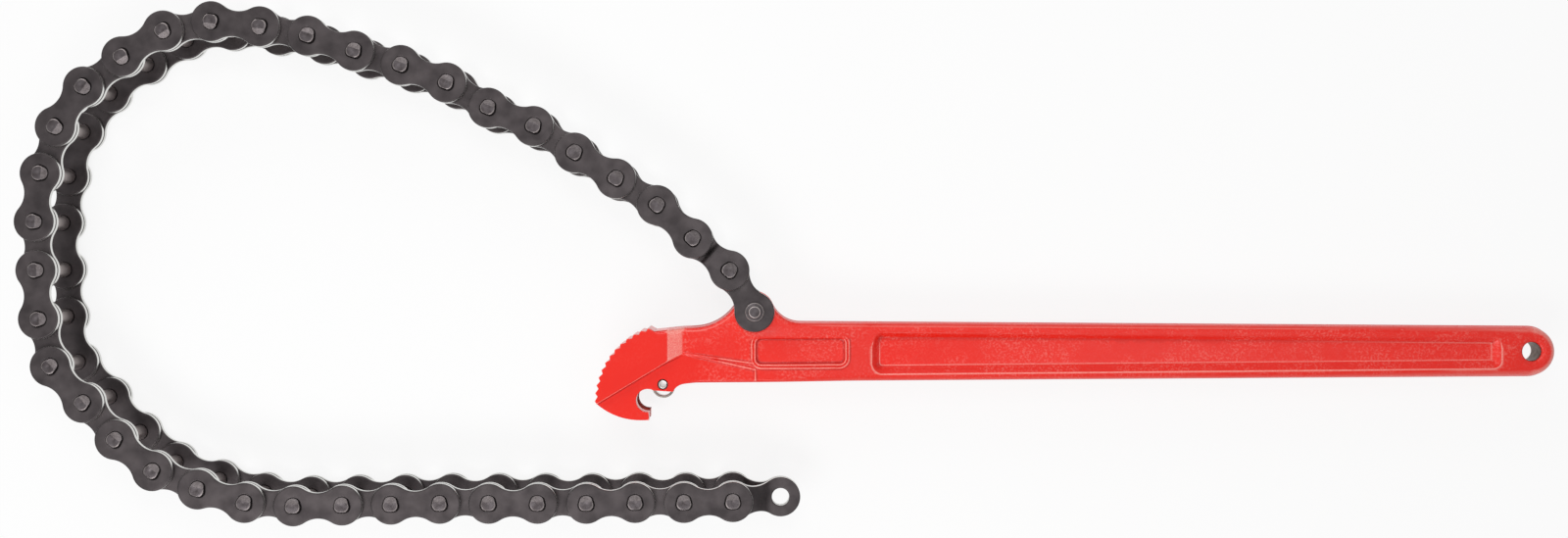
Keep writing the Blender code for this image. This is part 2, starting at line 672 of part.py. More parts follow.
def wrench_body():
    """Forging: the outline trimmed to its thickness, its handle edges eased, lines raised on it, and
    the panel, hollow, cheeks, slot and holes cut in."""
    blank = extruded("wrench_body", [body_outline()], -JAW_HALF_THICKNESS - OVERRUN,
                     JAW_HALF_THICKNESS + OVERRUN)
    body = combined(blank, [body_slab("body_slab")], "INTERSECT")
    body.name = "wrench_body"
    weigh_handle_edges(body.data)
    easing = body.modifiers.new("eased_edges", "BEVEL")
    easing.limit_method = "WEIGHT"
    easing.width = HANDLE_EDGE
    easing.segments = 1
    guides = [("raise_lines", raised_lines(), "UNION"),
              ("cut_panel", panel_cutter(), "DIFFERENCE"),
              ("cut_hollow", hollow_cutter(), "DIFFERENCE"),
              ("cut_cheeks", cheek_cutter(), "DIFFERENCE"),
              ("cut_slot", slot_cutter(), "DIFFERENCE"),
              ("cut_pivot", bore_cutter("cut_pivot", (0, 0), RIVET_RADIUS + FIT_GAP, PIVOT_SIDES), "DIFFERENCE"),
              ("cut_latch_pin", bore_cutter("cut_latch_pin", LATCH_PIN_CENTRE, LATCH_PIN_RADIUS + FIT_GAP,
                                            LATCH_PIN_STEPS), "DIFFERENCE"),
              ("cut_eyelet", eyelet_cutter(), "DIFFERENCE")]
    for name, guide, operation in guides:
        step = body.modifiers.new(name, "BOOLEAN")
        step.operation = operation
        step.solver = "EXACT"
        step.object = guide
        guide.display_type = "WIRE"
        guide.hide_render = True
        guide.parent = root
    return body


# Latch pieces

def spring_pin_mesh():
    """Rolled spring pin across the cheeks, with its slit towards the handle."""
    slit = LATCH_PIN_SLIT_DEGREES / 2
    outline = arc((0, 0), LATCH_PIN_RADIUS, slit, 360 - slit, LATCH_PIN_STEPS)
    outline += arc((0, 0), LATCH_PIN_RADIUS - LATCH_PIN_WALL, 360 - slit, slit, LATCH_PIN_STEPS)
    return take_mesh(extruded("pin_blank", [outline], -HEAD_HALF_THICKNESS, HEAD_HALF_THICKNESS))


def latch_ring_mesh():
    """Ring that hangs on the spring pin in the slot; its origin is on the pin's axis."""
    bore = LATCH_RING_RADIUS - LATCH_RING_WALL
    hang = (0, LATCH_PIN_RADIUS + FIT_GAP - bore)
    half = SLOT_WIDTH / 2 - FIT_GAP
    outlines = [circle(hang, LATCH_RING_RADIUS, LATCH_RING_SIDES), circle(hang, bore, LATCH_RING_SIDES)]
    return take_mesh(extruded("ring_blank", outlines, -half, half))


# Assembly

def add_empty(name, parent, x=0, turn=0):
    """Empty on a joint's axis; turning it about Z moves all that hangs on it."""
    empty = bpy.data.objects.new(name, None)
    empty.empty_display_size = PITCH / 2
    empty.parent = parent
    empty.location.x = x
    empty.rotation_euler.z = math.radians(turn)
    wrench.objects.link(empty)
    return empty


def add_piece(name, mesh, finish, parent, height=0, roll=0):
    """Named piece on its parent empty, lifted to its level and rolled about its length."""
    piece = bpy.data.objects.new(name, mesh)
    piece.parent = parent
    piece.location.z = height
    piece.rotation_euler.x = math.radians(roll)
    wrench.objects.link(piece)
    if not mesh.materials:
        mesh.materials.append(None)
    piece.material_slots[0].link = "OBJECT"
    piece.material_slots[0].material = material_for(name, finish)
    return piece


def add_chain():
    """Links from the pivot to the open eye, each on the empty of the one before."""
    outer, inner = outer_link_mesh(), inner_plate_mesh()
    offset, end = offset_link_mesh(), end_link_mesh()
    inner_height = sum(INNER_LEVEL) / 2
    parent, heading = root, 0
    for number, new_heading in enumerate(LINK_HEADINGS, 1):
        axis = add_empty(f"link_{number:02d}_axis", parent, PITCH if number > 1 else 0,
                         new_heading - heading)
        parent, heading = axis, new_heading
        roll = 0 if number > FLATS_TURN_AFTER_LINK else 180
        if number == 2:
            add_piece("offset_link", offset, BLACKENED_STEEL, axis, roll=roll)
        elif number == len(LINK_HEADINGS):
            add_piece("end_link", end, BLACKENED_STEEL, axis)
        elif number % 2:
            if number > 1:
                add_piece(f"outer_link_{number:02d}", outer, BLACKENED_STEEL, axis, roll=roll)
                continue
            add_piece("pivot_plate_front", inner, BLACKENED_STEEL, axis, inner_height)
            add_piece("pivot_plate_back", inner, BLACKENED_STEEL, axis, -inner_height)
            add_piece("pivot_pin", pivot_pin_mesh(), BLACKENED_STEEL, axis)
        else:
            add_piece(f"inner_plate_{number:02d}_front", inner, BLACKENED_STEEL, axis, inner_height)
            add_piece(f"inner_plate_{number:02d}_back", inner, BLACKENED_STEEL, axis, -inner_height)


def add_latch():
    for name, mesh in (("spring_pin", spring_pin_mesh()), ("latch_ring", latch_ring_mesh())):
        piece = add_piece(name, mesh, BRIGHT_STEEL, root)
        piece.location.x, piece.location.y = LATCH_PIN_CENTRE


def add_body():
    body = wrench_body()
    cutters.objects.unlink(body)
    wrench.objects.link(body)
    body.parent = root
    body.data.materials.append(material_for("wrench_body", RED_PAINT))


def stand_on_origin():
    """Move the whole wrench so that the origin lies below its middle, at the height it rests on."""
    depsgraph = bpy.context.evaluated_depsgraph_get()
    corners = [piece.evaluated_get(depsgraph).matrix_world @ vertex.co
               for piece in wrench.objects if piece.type == "MESH"
               for vertex in piece.evaluated_get(depsgraph).data.vertices]
    low = Vector([min(corner[axis] for corner in corners) for axis in range(3)])
    high = Vector([max(corner[axis] for corner in corners) for axis in range(3)])
    middle = (low + high) / 2
    root.location = (-middle.x, -middle.y, -low.z)
    bpy.context.view_layer.update()


clear_scene()
wrench = new_collection("flange_wrench")
cutters = new_collection("cutters")
root = add_empty("flange_wrench_axis", None)
add_body()
add_latch()
add_chain()
stand_on_origin()
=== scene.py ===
import json
import math

import bmesh
import bpy
import numpy as np
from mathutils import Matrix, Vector
from mathutils.geometry import delaunay_2d_cdt, tessellate_polygon


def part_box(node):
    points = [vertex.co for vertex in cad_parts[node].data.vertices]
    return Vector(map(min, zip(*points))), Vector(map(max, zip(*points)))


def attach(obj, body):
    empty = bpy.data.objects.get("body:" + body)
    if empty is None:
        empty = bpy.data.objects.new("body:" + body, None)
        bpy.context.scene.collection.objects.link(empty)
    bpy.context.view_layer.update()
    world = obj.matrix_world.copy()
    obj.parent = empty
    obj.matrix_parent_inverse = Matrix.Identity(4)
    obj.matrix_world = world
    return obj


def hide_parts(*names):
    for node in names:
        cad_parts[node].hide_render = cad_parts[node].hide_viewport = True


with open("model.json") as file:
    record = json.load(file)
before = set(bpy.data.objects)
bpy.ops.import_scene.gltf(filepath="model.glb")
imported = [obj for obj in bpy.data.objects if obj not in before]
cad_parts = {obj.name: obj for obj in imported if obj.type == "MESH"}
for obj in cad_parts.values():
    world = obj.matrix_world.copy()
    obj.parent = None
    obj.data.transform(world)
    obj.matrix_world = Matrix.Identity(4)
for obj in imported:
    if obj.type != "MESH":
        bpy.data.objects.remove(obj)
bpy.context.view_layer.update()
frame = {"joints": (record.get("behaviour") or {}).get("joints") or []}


# Pitch line of the chain: 38 links of 25.4 mm. The frame's hinges are the rivets' centres, from the one
# in the head to the last, and the open eye lies as far beyond the last link's middle as its rivet is
# before it. Every piece of a link is made in the link's own frame and then laid between two centres.
MM = 0.001
PITCH = 25.4 * MM
FLATS_TURN_AFTER_LINK = 12

chain_hinges = [joint for joint in frame["joints"] if joint["name"] != "latch_hinge"]
rivet_centres = np.array([joint["pos_m"] for joint in chain_hinges])
end_low, end_high = (np.array(corner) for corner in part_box("end_link"))
rivet_centres = np.vstack([rivet_centres, end_low + end_high - rivet_centres[-1]])
LINKS = len(chain_hinges)


def laid(points, link, rolled=False):
    """Points of a link in the wrench's frame: turned to its heading and moved to its first rivet. A
    rolled link first turns half round its own length."""
    along = (rivet_centres[link] - rivet_centres[link - 1]) / PITCH
    across, up = np.array([-along[1], along[0], 0]), np.array([0.0, 0.0, 1.0])
    if rolled:
        across, up = -across, -up
    return rivet_centres[link - 1] + points @ np.array([along, across, up])


# Inner plates: 3.2 mm strip steel, blanked to a figure eight and barrel-polished, so every edge is
# rounded, then black-oxided. They turn on the rivets' shoulders. Each is its rounded edge profile
# carried round the outline and round its two holes.
PLATE_THICKNESS = 3.2 * MM
PLATE_RADIUS = 10.5 * MM
WAIST_HALF_HEIGHT = 6.7 * MM
PLATE_EDGE = 0.7 * MM
INNER_MIDDLE = 16.1 * MM
INNER_HOLE = 3.7 * MM
DISC_STEPS, WAIST_STEPS, HOLE_SIDES = 30, 14, 24
WORN_REACH = 1.3  # in radii of the edge
SLIVER = 1e-14
STEEL_GRAIN, GRAIN_DEPTH = 0.7 * MM, 0.02 * MM


def bow(centre, radius, start, end, steps):
    """Arc: its centre plus its radius times the cosine and sine of angles spread evenly, in degrees."""
    turn = np.radians(np.linspace(start, end, steps + 1))
    return np.column_stack([centre[0] + radius * np.cos(turn), centre[1] + radius * np.sin(turn)])


def hole_ring(centre, radius, sides):
    """Closed circle, clockwise, so that the side on its right is the hole."""
    return bow(centre, radius, 360, 0, sides)[:-1]


def figure_eight():
    """Plate outline, anticlockwise: a disc round each rivet, and between them arcs that touch both discs."""
    half = PITCH / 2
    squares = half ** 2 + WAIST_HALF_HEIGHT ** 2 - PLATE_RADIUS ** 2
    waist = squares / (2 * (PLATE_RADIUS - WAIST_HALF_HEIGHT))
    height = WAIST_HALF_HEIGHT + waist
    touch = math.degrees(math.atan2(height, half))
    return np.vstack([bow((PITCH, 0), PLATE_RADIUS, touch - 180, 180 - touch, DISC_STEPS)[:-1],
                      bow((half, height), waist, -touch, touch - 180, WAIST_STEPS)[:-1],
                      bow((0, 0), PLATE_RADIUS, touch, 360 - touch, DISC_STEPS)[:-1],
                      bow((half, -height), waist, 180 - touch, touch, WAIST_STEPS)[:-1]])


def outward(path):
    """Unit normals on the right of a closed path, across the chord between each point's neighbours."""
    chord = np.roll(path, -1, axis=0) - np.roll(path, 1, axis=0)
    normal = np.column_stack([chord[:, 1], -chord[:, 0]])
    return normal / np.linalg.norm(normal, axis=1)[:, None]


def rounded_edge(half, radius):
    """Edge profile as inset, height and wear: a quarter circle off the face, the wall, and a quarter
    circle onto the other face. Wear rises from none on the face to whole on the wall."""
    turn = np.radians([90, 62, 38, 16, 0])
    inset = np.concatenate([[radius * WORN_REACH], radius * (1 - np.cos(turn))])
    height = np.concatenate([[half], half - radius * (1 - np.sin(turn))])
    wear = np.array([0.0, 0.0, 0.08, 0.3, 0.7, 1.0])
    return (np.concatenate([inset, inset[::-1]]), np.concatenate([height, -height[::-1]]),
            np.concatenate([wear, wear[::-1]]))


def strip_quads(rows, columns, first=0):
    """Quads between each row of a grid and the next, closed across its columns."""
    row, column = np.meshgrid(np.arange(rows - 1), np.arange(columns), indexing="ij")
    here = first + row * columns + column
    beside = first + row * columns + (column + 1) % columns
    return np.stack([here, here + columns, beside + columns, beside], axis=-1).reshape(-1, 4)


def flat_fill(loops, facing):
    """Triangles that fill a flat outline with holes. Each loop is its first point's number and its
    points; facing is 1 for a face seen from above and -1 for one seen from below."""
    numbers = np.concatenate([first + np.arange(len(loop)) for first, loop in loops])
    flat = np.vstack([loop for _, loop in loops])
    picks = np.array(tessellate_polygon([[(x, y, 0) for x, y in loop] for _, loop in loops]))
    one, two = flat[picks[:, 1]] - flat[picks[:, 0]], flat[picks[:, 2]] - flat[picks[:, 0]]
    area = one[:, 0] * two[:, 1] - one[:, 1] * two[:, 0]
    kept = np.abs(area) > SLIVER
    picks, wrong = picks[kept], area[kept] * facing < 0
    picks[wrong] = picks[wrong][:, ::-1]
    return numbers[picks].tolist()


def eased_solid(outline, holes, middle, thickness, radius):
    """Flat solid with rounded edges: point = path less its outward normal times the inset, at the
    profile's height. Both faces are filled between the innermost rows. Returns points, faces and wear."""
    inset, height, wear = rounded_edge(thickness / 2, radius)
    points, faces, wears, tops, bottoms, first = [], [], [], [], [], 0
    for path in [outline, *holes]:
        flat = path[None] - outward(path)[None] * inset[:, None, None]
        high = np.broadcast_to(height[:, None, None] + middle, flat.shape[:2] + (1,))
        points.append(np.concatenate([flat, high], axis=2).reshape(-1, 3))
        wears.append(np.repeat(wear, len(path)))
        faces += strip_quads(len(inset), len(path), first).tolist()
        tops.append((first, flat[0]))
        bottoms.append((first + (len(inset) - 1) * len(path), flat[-1]))
        first += len(inset) * len(path)
    faces += flat_fill(tops, 1) + flat_fill(bottoms, -1)
    return np.vstack(points), faces, np.concatenate(wears)


def keep_values(mesh, name, values):
    """A number for each point of a mesh, kept as its attribute of that name."""
    kept = mesh.attributes.new(name, "FLOAT", "POINT")
    kept.data.foreach_set("value", np.asarray(values, dtype=np.float32))


def new_object(name, data):
    """Object of that name, at the scene's origin."""
    item = bpy.data.objects.new(name, data)
    bpy.context.scene.collection.objects.link(item)
    return item


def set_piece(name, points, faces, wear, material, body, nodes, corner=50):
    """Mesh object at the origin from arrays, its wear kept as an attribute, riding on its body. Its sides
    are sharp where the faces turn by more than the corner, in degrees."""
    mesh = bpy.data.meshes.new(name)
    mesh.from_pydata(points.tolist(), [], faces)
    keep_values(mesh, "wear", wear)
    mesh.materials.append(material)
    mesh.shade_smooth()
    mesh.set_sharp_from_angle(angle=math.radians(corner))
    piece = new_object(name, mesh)
    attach(piece, body)
    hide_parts(*nodes)


def linear(code):
    """Linear colour of an sRGB hex code: a channel over 12.92, or ((c + 0.055) / 1.055) to the power 2.4."""
    shades = [int(code[place:place + 2], 16) / 255 for place in (1, 3, 5)]
    return (*[c / 12.92 if c <= 0.04045 else ((c + 0.055) / 1.055) ** 2.4 for c in shades], 1.0)


def set_inputs(tree, node, links):
    """A node's inputs, each set to a value or linked from another node's output."""
    for name, source in links.items():
        if isinstance(source, bpy.types.NodeSocket):
            tree.links.new(source, node.inputs[name])
        else:
            node.inputs[name].default_value = source


def add_node(tree, kind, links, out=0, **settings):
    """Node of a kind with its settings and inputs, given back as the one of its outputs that is used."""
    node = tree.nodes.new(kind)
    for name, value in settings.items():
        setattr(node, name, value)
    set_inputs(tree, node, links)
    return node.outputs[out]


def noise(tree, size, detail, roughness=0.5):
    """Noise pattern in the object's own space, with lumps of about that size."""
    place = add_node(tree, "ShaderNodeTexCoord", {}, "Object")
    return add_node(tree, "ShaderNodeTexNoise",
                    {"Vector": place, "Scale": 1 / size, "Detail": detail, "Roughness": roughness})


def mixed(tree, share, one, two):
    """Colour between two others."""
    return add_node(tree, "ShaderNodeMix", {"Factor": share, 6: one, 7: two}, 2, data_type="RGBA")


def ranged(tree, value, low, high, to_low=0.0, to_high=1.0, curve="LINEAR"):
    """Value that rises from one number to another while the given one does from low to high."""
    return add_node(tree, "ShaderNodeMapRange", {"Value": value, "From Min": low, "From Max": high,
                                                 "To Min": to_low, "To Max": to_high}, interpolation_type=curve)


def worked_out(tree, operation, *terms):
    """Result of a sum on up to three terms."""
    return add_node(tree, "ShaderNodeMath", dict(enumerate(terms)), operation=operation)


def new_material(name):
    """Material with nodes, and with it its node tree and its shader."""
    material = bpy.data.materials.new(name)
    material.use_nodes = True
    return material, material.node_tree, material.node_tree.nodes["Principled BSDF"]


def rubbed_steel(name, dark, light, bare, rough, bare_rough, cloud_size):
    """Steel whose skin is rubbed through: a mottled skin colour from a cloud pattern, and the bare metal
    where the wear attribute plus a fine grain is high. The grain also lifts the surface."""
    material, tree, shader = new_material(name)
    cloud, grain = noise(tree, cloud_size, 4), noise(tree, STEEL_GRAIN, 3)
    wear = add_node(tree, "ShaderNodeAttribute", {}, "Fac", attribute_name="wear")
    skin = add_node(tree, "ShaderNodeValToRGB", {"Fac": cloud})
    low, high = skin.node.color_ramp.elements
    low.position, high.position = 0.32, 0.68
    low.color, high.color = linear(dark), linear(light)
    rubbed = worked_out(tree, "ADD", wear, worked_out(tree, "MULTIPLY_ADD", grain, 0.24, -0.12))
    share = ranged(tree, rubbed, 0.3, 0.85, curve="SMOOTHSTEP")
    colour = mixed(tree, share, skin, linear(bare))
    gloss = ranged(tree, share, 0, 1, rough, bare_rough)
    bump = add_node(tree, "ShaderNodeBump", {"Height": grain, "Distance": GRAIN_DEPTH, "Strength": 0.6})
    set_inputs(tree, shader, {"Base Color": colour, "Roughness": gloss, "Normal": bump, "Metallic": 1.0})
    return material


# Black oxide on barrel-polished strip: dark brown-grey, faintly mottled, and bare and bright on the edges
blackened_strip = rubbed_steel("blackened_strip_steel", "#393536", "#4B4647", "#DADAD7", 0.52, 0.28, 9 * MM)

plate_path = figure_eight()
rivet_holes = [hole_ring((x, 0), INNER_HOLE, HOLE_SIDES) for x in (0, PITCH)]


def set_strips(name, link, holes, middle, node, rolled=False):
    """A link's two flat strips, at the middle's height and as far below, with the side in the node's name."""
    for height, side in ((middle, "front"), (-middle, "back")):
        points, faces, wear = eased_solid(plate_path, holes, height, PLATE_THICKNESS, PLATE_EDGE)
        set_piece(f"{name}_{side}", laid(points, link, rolled), faces, wear, blackened_strip,
                  f"link_{link:02d}", [node.replace("SIDE", side)])


for link in range(4, LINKS, 2):
    set_strips(f"inner_strip_{link:02d}", link, rivet_holes, INNER_MIDDLE, f"inner_plate_{link:02d}_SIDE")


# Outer plates: the same blanks one level further out. Their holes have a flat side, as the rivets' ends
# do, so that the rivets can't turn in them, and a hair's breadth shows round each rivet.
OUTER_MIDDLE = 19.6 * MM
RIVET_RADIUS = 4.2 * MM
RIVET_FLAT = 3.4 * MM
RIVET_TAPER_START, RIVET_TAPER = 3.85 * MM, 0.27
RIVET_SOFT_CORNER = 0.3 * MM
RIVET_SIDES = 36
SEAT_GAP = 0.1 * MM


def soft_least(one, two, blend):
    """The lesser of two arrays, with the corner between them rounded over a blend length."""
    return (one + two - np.sqrt((one - two) ** 2 + blend ** 2)) / 2


def swaged(spots, gap):
    """Round section with y held above the flat, and x within sides that close in as y rises, each with
    a gap."""
    formed = np.array(spots)
    formed[..., 1] = -soft_least(-formed[..., 1], RIVET_FLAT + gap, RIVET_SOFT_CORNER)
    side = RIVET_TAPER_START + gap - RIVET_TAPER * formed[..., 1]
    formed[..., 0] = np.sign(formed[..., 0]) * soft_least(np.abs(formed[..., 0]), side, RIVET_SOFT_CORNER)
    return formed


def seat_ring(x):
    """The hole for a rivet's end, as wide as it and the gap."""
    return swaged(hole_ring((0, 0), RIVET_RADIUS + SEAT_GAP, RIVET_SIDES), SEAT_GAP) + (x, 0)


seats = [seat_ring(x) for x in (0, PITCH)]
for link in range(3, LINKS, 2):
    set_strips(f"outer_strip_{link:02d}", link, seats, OUTER_MIDDLE, f"outer_link_{link:02d}",
               link <= FLATS_TURN_AFTER_LINK)


# Rivets of the outer links: turned steel pins, stepped to hold the inner plates apart, and swaged over
# the outer plates. Each end has a flat at the link's one side and a slanted face at the other.
RIVET_SLANT_FOOT = (1.3 * MM, 22.7 * MM)
RIVET_SLANT = 0.53
RIVET_CORNER = 24
SLANT_LIGHTENING = 0.42
SWAGED_ROWS = 14
WELD = 0.001 * MM

# radius and height in mm down the upper half, and the wear there
RIVET_ROWS = np.array([
    [0.0, 22.5, 0], [0.5, 22.53, 0], [0.95, 22.64, 0.12], [1.5, 22.7, 0.3], [2.4, 22.7, 0.25],
    [3.1, 22.69, 0.3], [3.55, 22.62, 0.5], [3.82, 22.48, 0.55], [4.0, 22.25, 0.4], [4.12, 21.9, 0.2],
    [4.18, 21.5, 0], [4.2, 21.1, 0], [4.2, 20.0, 0], [4.2, 18.0, 0], [3.4, 18.0, 0],
    [3.4, 14.2, 0], [3.75, 14.2, 0.5], [4.0, 13.9, 0.9], [4.0, 9.0, 1.0], [4.0, 0.0, 1.0]])


def turned_half(rows, sides):
    """Half a turned surface: (radius cos a, radius sin a, height) for each row and each angle a."""
    turn = np.linspace(0, 2 * np.pi, sides, endpoint=False)
    radius, height = rows[:, 0, None] * MM, rows[:, 1, None] * MM
    height = np.broadcast_to(height, (len(rows), sides))
    return np.stack([radius * np.cos(turn), radius * np.sin(turn), height], axis=2)


def mesh_array(items, field, width, kind=np.float32):
    """One field of a mesh's items as an array with a row for each item."""
    flat = np.empty(len(items) * width, dtype=kind)
    items.foreach_get(field, flat)
    return flat.reshape(-1, width).astype(np.int64 if kind is np.int32 else float)


def worked(points, faces, wear, cuts=(), dropped=False):
    """The same solid cut along planes, each given as a spot and a normal, and welded where its points meet.
    What lies beyond a cut is dropped, and the opening filled, where dropped is set."""
    mesh = bpy.data.meshes.new("blank")
    mesh.from_pydata(points.tolist(), [], faces)
    keep_values(mesh, "wear", wear)
    solid = bmesh.new()
    solid.from_mesh(mesh)
    bmesh.ops.remove_doubles(solid, verts=solid.verts, dist=WELD)
    for spot, normal in cuts:
        whole = solid.verts[:] + solid.edges[:] + solid.faces[:]
        cut = bmesh.ops.bisect_plane(solid, geom=whole, plane_co=spot, plane_no=normal, dist=1e-7,
                                     clear_outer=dropped)
        if dropped:
            edges = [item for item in cut["geom_cut"] if isinstance(item, bmesh.types.BMEdge)]
            bmesh.ops.edgeloop_fill(solid, edges=edges)
    bmesh.ops.recalc_face_normals(solid, faces=solid.faces)
    solid.to_mesh(mesh)
    solid.free()
    corners = mesh_array(mesh.loops, "vertex_index", 1, np.int32).ravel()
    starts = mesh_array(mesh.polygons, "loop_start", 1, np.int32).ravel()
    arrays = (mesh_array(mesh.vertices, "co", 3), [face.tolist() for face in np.split(corners, starts[1:])],
              mesh_array(mesh.attributes["wear"].data, "value", 1).ravel())
    bpy.data.meshes.remove(mesh)
    return arrays


def both_halves(points, faces, wear):
    """A half solid and its mirror image below the middle, with that one's faces turned back outwards."""
    mirror = [[corner + len(points) for corner in reversed(face)] for face in faces]
    return worked(np.vstack([points, points * (1, 1, -1)]), faces + mirror, np.concatenate([wear, wear]))


# Rubbed pin steel: brownish where the oxide stays on the ends, bright where the jaws' hook and the inner
# plates rub the middle
rubbed_pin = rubbed_steel("rubbed_pin_steel", "#423D3E", "#575254", "#B4ABA9", 0.5, 0.38, 3 * MM)

rivet_half = turned_half(RIVET_ROWS, RIVET_SIDES)
rivet_half[:SWAGED_ROWS] = swaged(rivet_half[:SWAGED_ROWS], 0)
rivet_quads = strip_quads(len(RIVET_ROWS), RIVET_SIDES).tolist()
rivet_wear = np.repeat(RIVET_ROWS[:, 2], RIVET_SIDES)
slant = [((0, *RIVET_SLANT_FOOT), (0, RIVET_SLANT, 1))]
points, faces, wear = worked(rivet_half.reshape(-1, 3), rivet_quads, rivet_wear, slant, True)
slant_depth = (points - slant[0][0]) @ np.array(slant[0][1])
# The slanted faces are made lighter, partway to the bare steel colour.
wear[np.abs(slant_depth) < 0.01 * MM] = SLANT_LIGHTENING
rivet = both_halves(points, faces, wear)
for link in range(3, LINKS, 2):
    for x, end in ((0, "first"), (PITCH, "second")):
        points = laid(rivet[0] + np.array([x, 0, 0]), link, link <= FLATS_TURN_AFTER_LINK)
        set_piece(f"rivet_{link:02d}_{end}", points, rivet[1], rivet[2], rubbed_pin,
                  f"link_{link:02d}", [f"outer_link_{link:02d}"], corner=RIVET_CORNER)


# Offset link: its plates are riveted outside the first link's and cranked in past their middle, so that
# they pass inside the next outer link. Bent cold from the same strip, with a rivet at its first end.
CRANK_START = 11.1 * MM
CRANK_RUN = 2.8 * MM
CRANK_SOFTNESS = 0.45 * MM
CRANK_MARGIN, CRANK_CUTS = 2 * MM, 12


def bent(points, start, run, high, low, softness):
    """Plate points lifted onto a ramp from one level to another, with soft corners: the level falls by the
    slope times the soft length run so far, and the plate's thickness is kept square to the ramp."""
    slope = (high - low) / run
    before, after = (points[:, 0] - start) / softness, (points[:, 0] - start - run) / softness
    fall = slope * softness * (np.logaddexp(0, before) - np.logaddexp(0, after))
    tilt = slope * (1 / (1 + np.exp(-before)) - 1 / (1 + np.exp(-after)))
    lifted = points.copy()
    lifted[:, 2] = high - fall + points[:, 2] * np.sqrt(1 + tilt ** 2)
    return lifted


def across(stations):
    """Planes square to the link's length at each x."""
    return [((x, 0, 0), (1, 0, 0)) for x in stations]


def set_pair(name, points, faces, wear, link, rolled, node):
    """A link's front strip, and behind it the mirror image, with its faces turned back outwards."""
    behind = points * (1, 1, -1), [face[::-1] for face in faces]
    for side, (spots, sides) in (("front", (points, faces)), ("back", behind)):
        set_piece(f"{name}_{side}", laid(spots, link, rolled), sides, wear, blackened_strip,
                  f"link_{link:02d}", [node])


offset_holes = [seat_ring(0), hole_ring((PITCH, 0), INNER_HOLE, HOLE_SIDES)]
flat_offset = eased_solid(plate_path, offset_holes, 0, PLATE_THICKNESS, PLATE_EDGE)
crank_stations = np.linspace(CRANK_START - CRANK_MARGIN, CRANK_START + CRANK_RUN + CRANK_MARGIN, CRANK_CUTS)
points, faces, wear = worked(*flat_offset, across(crank_stations))
points = bent(points, CRANK_START, CRANK_RUN, OUTER_MIDDLE, INNER_MIDDLE, CRANK_SOFTNESS)
set_pair("offset_strip", points, faces, wear, 2, True, "offset_link")
set_piece("rivet_02", laid(rivet[0], 2, True), rivet[1], rivet[2], rubbed_pin, "link_02", ["offset_link"],
          corner=RIVET_CORNER)


# End link: two inner plates bent in until they lie together round the open eye, which hooks over the
# hand or a peg. The eye is drilled and chamfered, and rubbed bright inside.
EYE_RADIUS = 4.6 * MM
END_BEND_START = 6.2 * MM
END_BEND_RUN = 12.4 * MM
END_BEND_SOFTNESS = 0.8 * MM
END_MARGIN, END_CUTS = 3.5 * MM, 28

end_holes = [hole_ring((0, 0), INNER_HOLE, HOLE_SIDES), hole_ring((PITCH, 0), EYE_RADIUS, 32)]
flat_end = eased_solid(plate_path, end_holes, 0, PLATE_THICKNESS, PLATE_EDGE)
bend_stations = np.linspace(END_BEND_START - END_MARGIN, END_BEND_START + END_BEND_RUN + END_MARGIN, END_CUTS)
points, faces, wear = worked(*flat_end, across(bend_stations))
points = bent(points, END_BEND_START, END_BEND_RUN, INNER_MIDDLE, PLATE_THICKNESS / 2, END_BEND_SOFTNESS)
set_pair("end_strip", points, faces, wear, LINKS, False, "end_link")


# First link and its pivot: two inner plates that straddle the ear, held by a round rivet whose heads
# are stepped, with a rim pressed onto the plates and a smaller flat top.
PIVOT_SIDES = 40
PIVOT_ROWS = np.array([
    [0.0, 20.6, 0], [1.5, 20.6, 0], [2.3, 20.58, 0.1], [2.75, 20.5, 0.6], [3.0, 20.32, 0.85],
    [3.2, 20.0, 0.4], [3.35, 19.7, 0.1], [3.7, 19.5, 0], [4.3, 19.42, 0.1], [4.7, 19.3, 0.65],
    [4.88, 19.05, 0.8], [4.95, 18.7, 0.3], [4.95, 18.0, 0], [3.4, 18.0, 0], [3.4, 14.2, 0],
    [4.0, 14.2, 0.5], [4.0, 0.0, 0.8]])

set_strips("pivot_strip", 1, rivet_holes, INNER_MIDDLE, "pivot_plate_SIDE")
pivot_quads = strip_quads(len(PIVOT_ROWS), PIVOT_SIDES).tolist()
points, faces, wear = both_halves(turned_half(PIVOT_ROWS, PIVOT_SIDES).reshape(-1, 3), pivot_quads,
                                  np.repeat(PIVOT_ROWS[:, 2], PIVOT_SIDES))
set_piece("pivot_rivet", laid(points, 1), faces, wear, rubbed_pin, "link_01", ["pivot_pin"])


# Latch: a rolled spring pin, slit along its side towards the handle, driven across the hook's cheeks,
# and a ring of steel tube that hangs on it in the slot. The pin is oiled, and the ring zinc-plated.
LATCH_PIN = (-48 * MM, -38 * MM)
PIN_RADIUS = 2.5 * MM
PIN_WALL = 0.7 * MM
PIN_SLIT = 12
PIN_LENGTH = 28.4 * MM
RING_RADIUS = 6 * MM
RING_WALL = 1.2 * MM
RING_WIDTH = 7.4 * MM
PIN_PLAY = 0.3 * MM
PIN_STEPS, PIN_EDGE, PIN_OUTER_WEAR = 40, 0.2 * MM, 0.3
RING_SIDES, RING_EDGE = 48, 0.3 * MM


def at_head(points):
    """Points measured from the head's pivot, in the wrench's frame."""
    return points + rivet_centres[0]
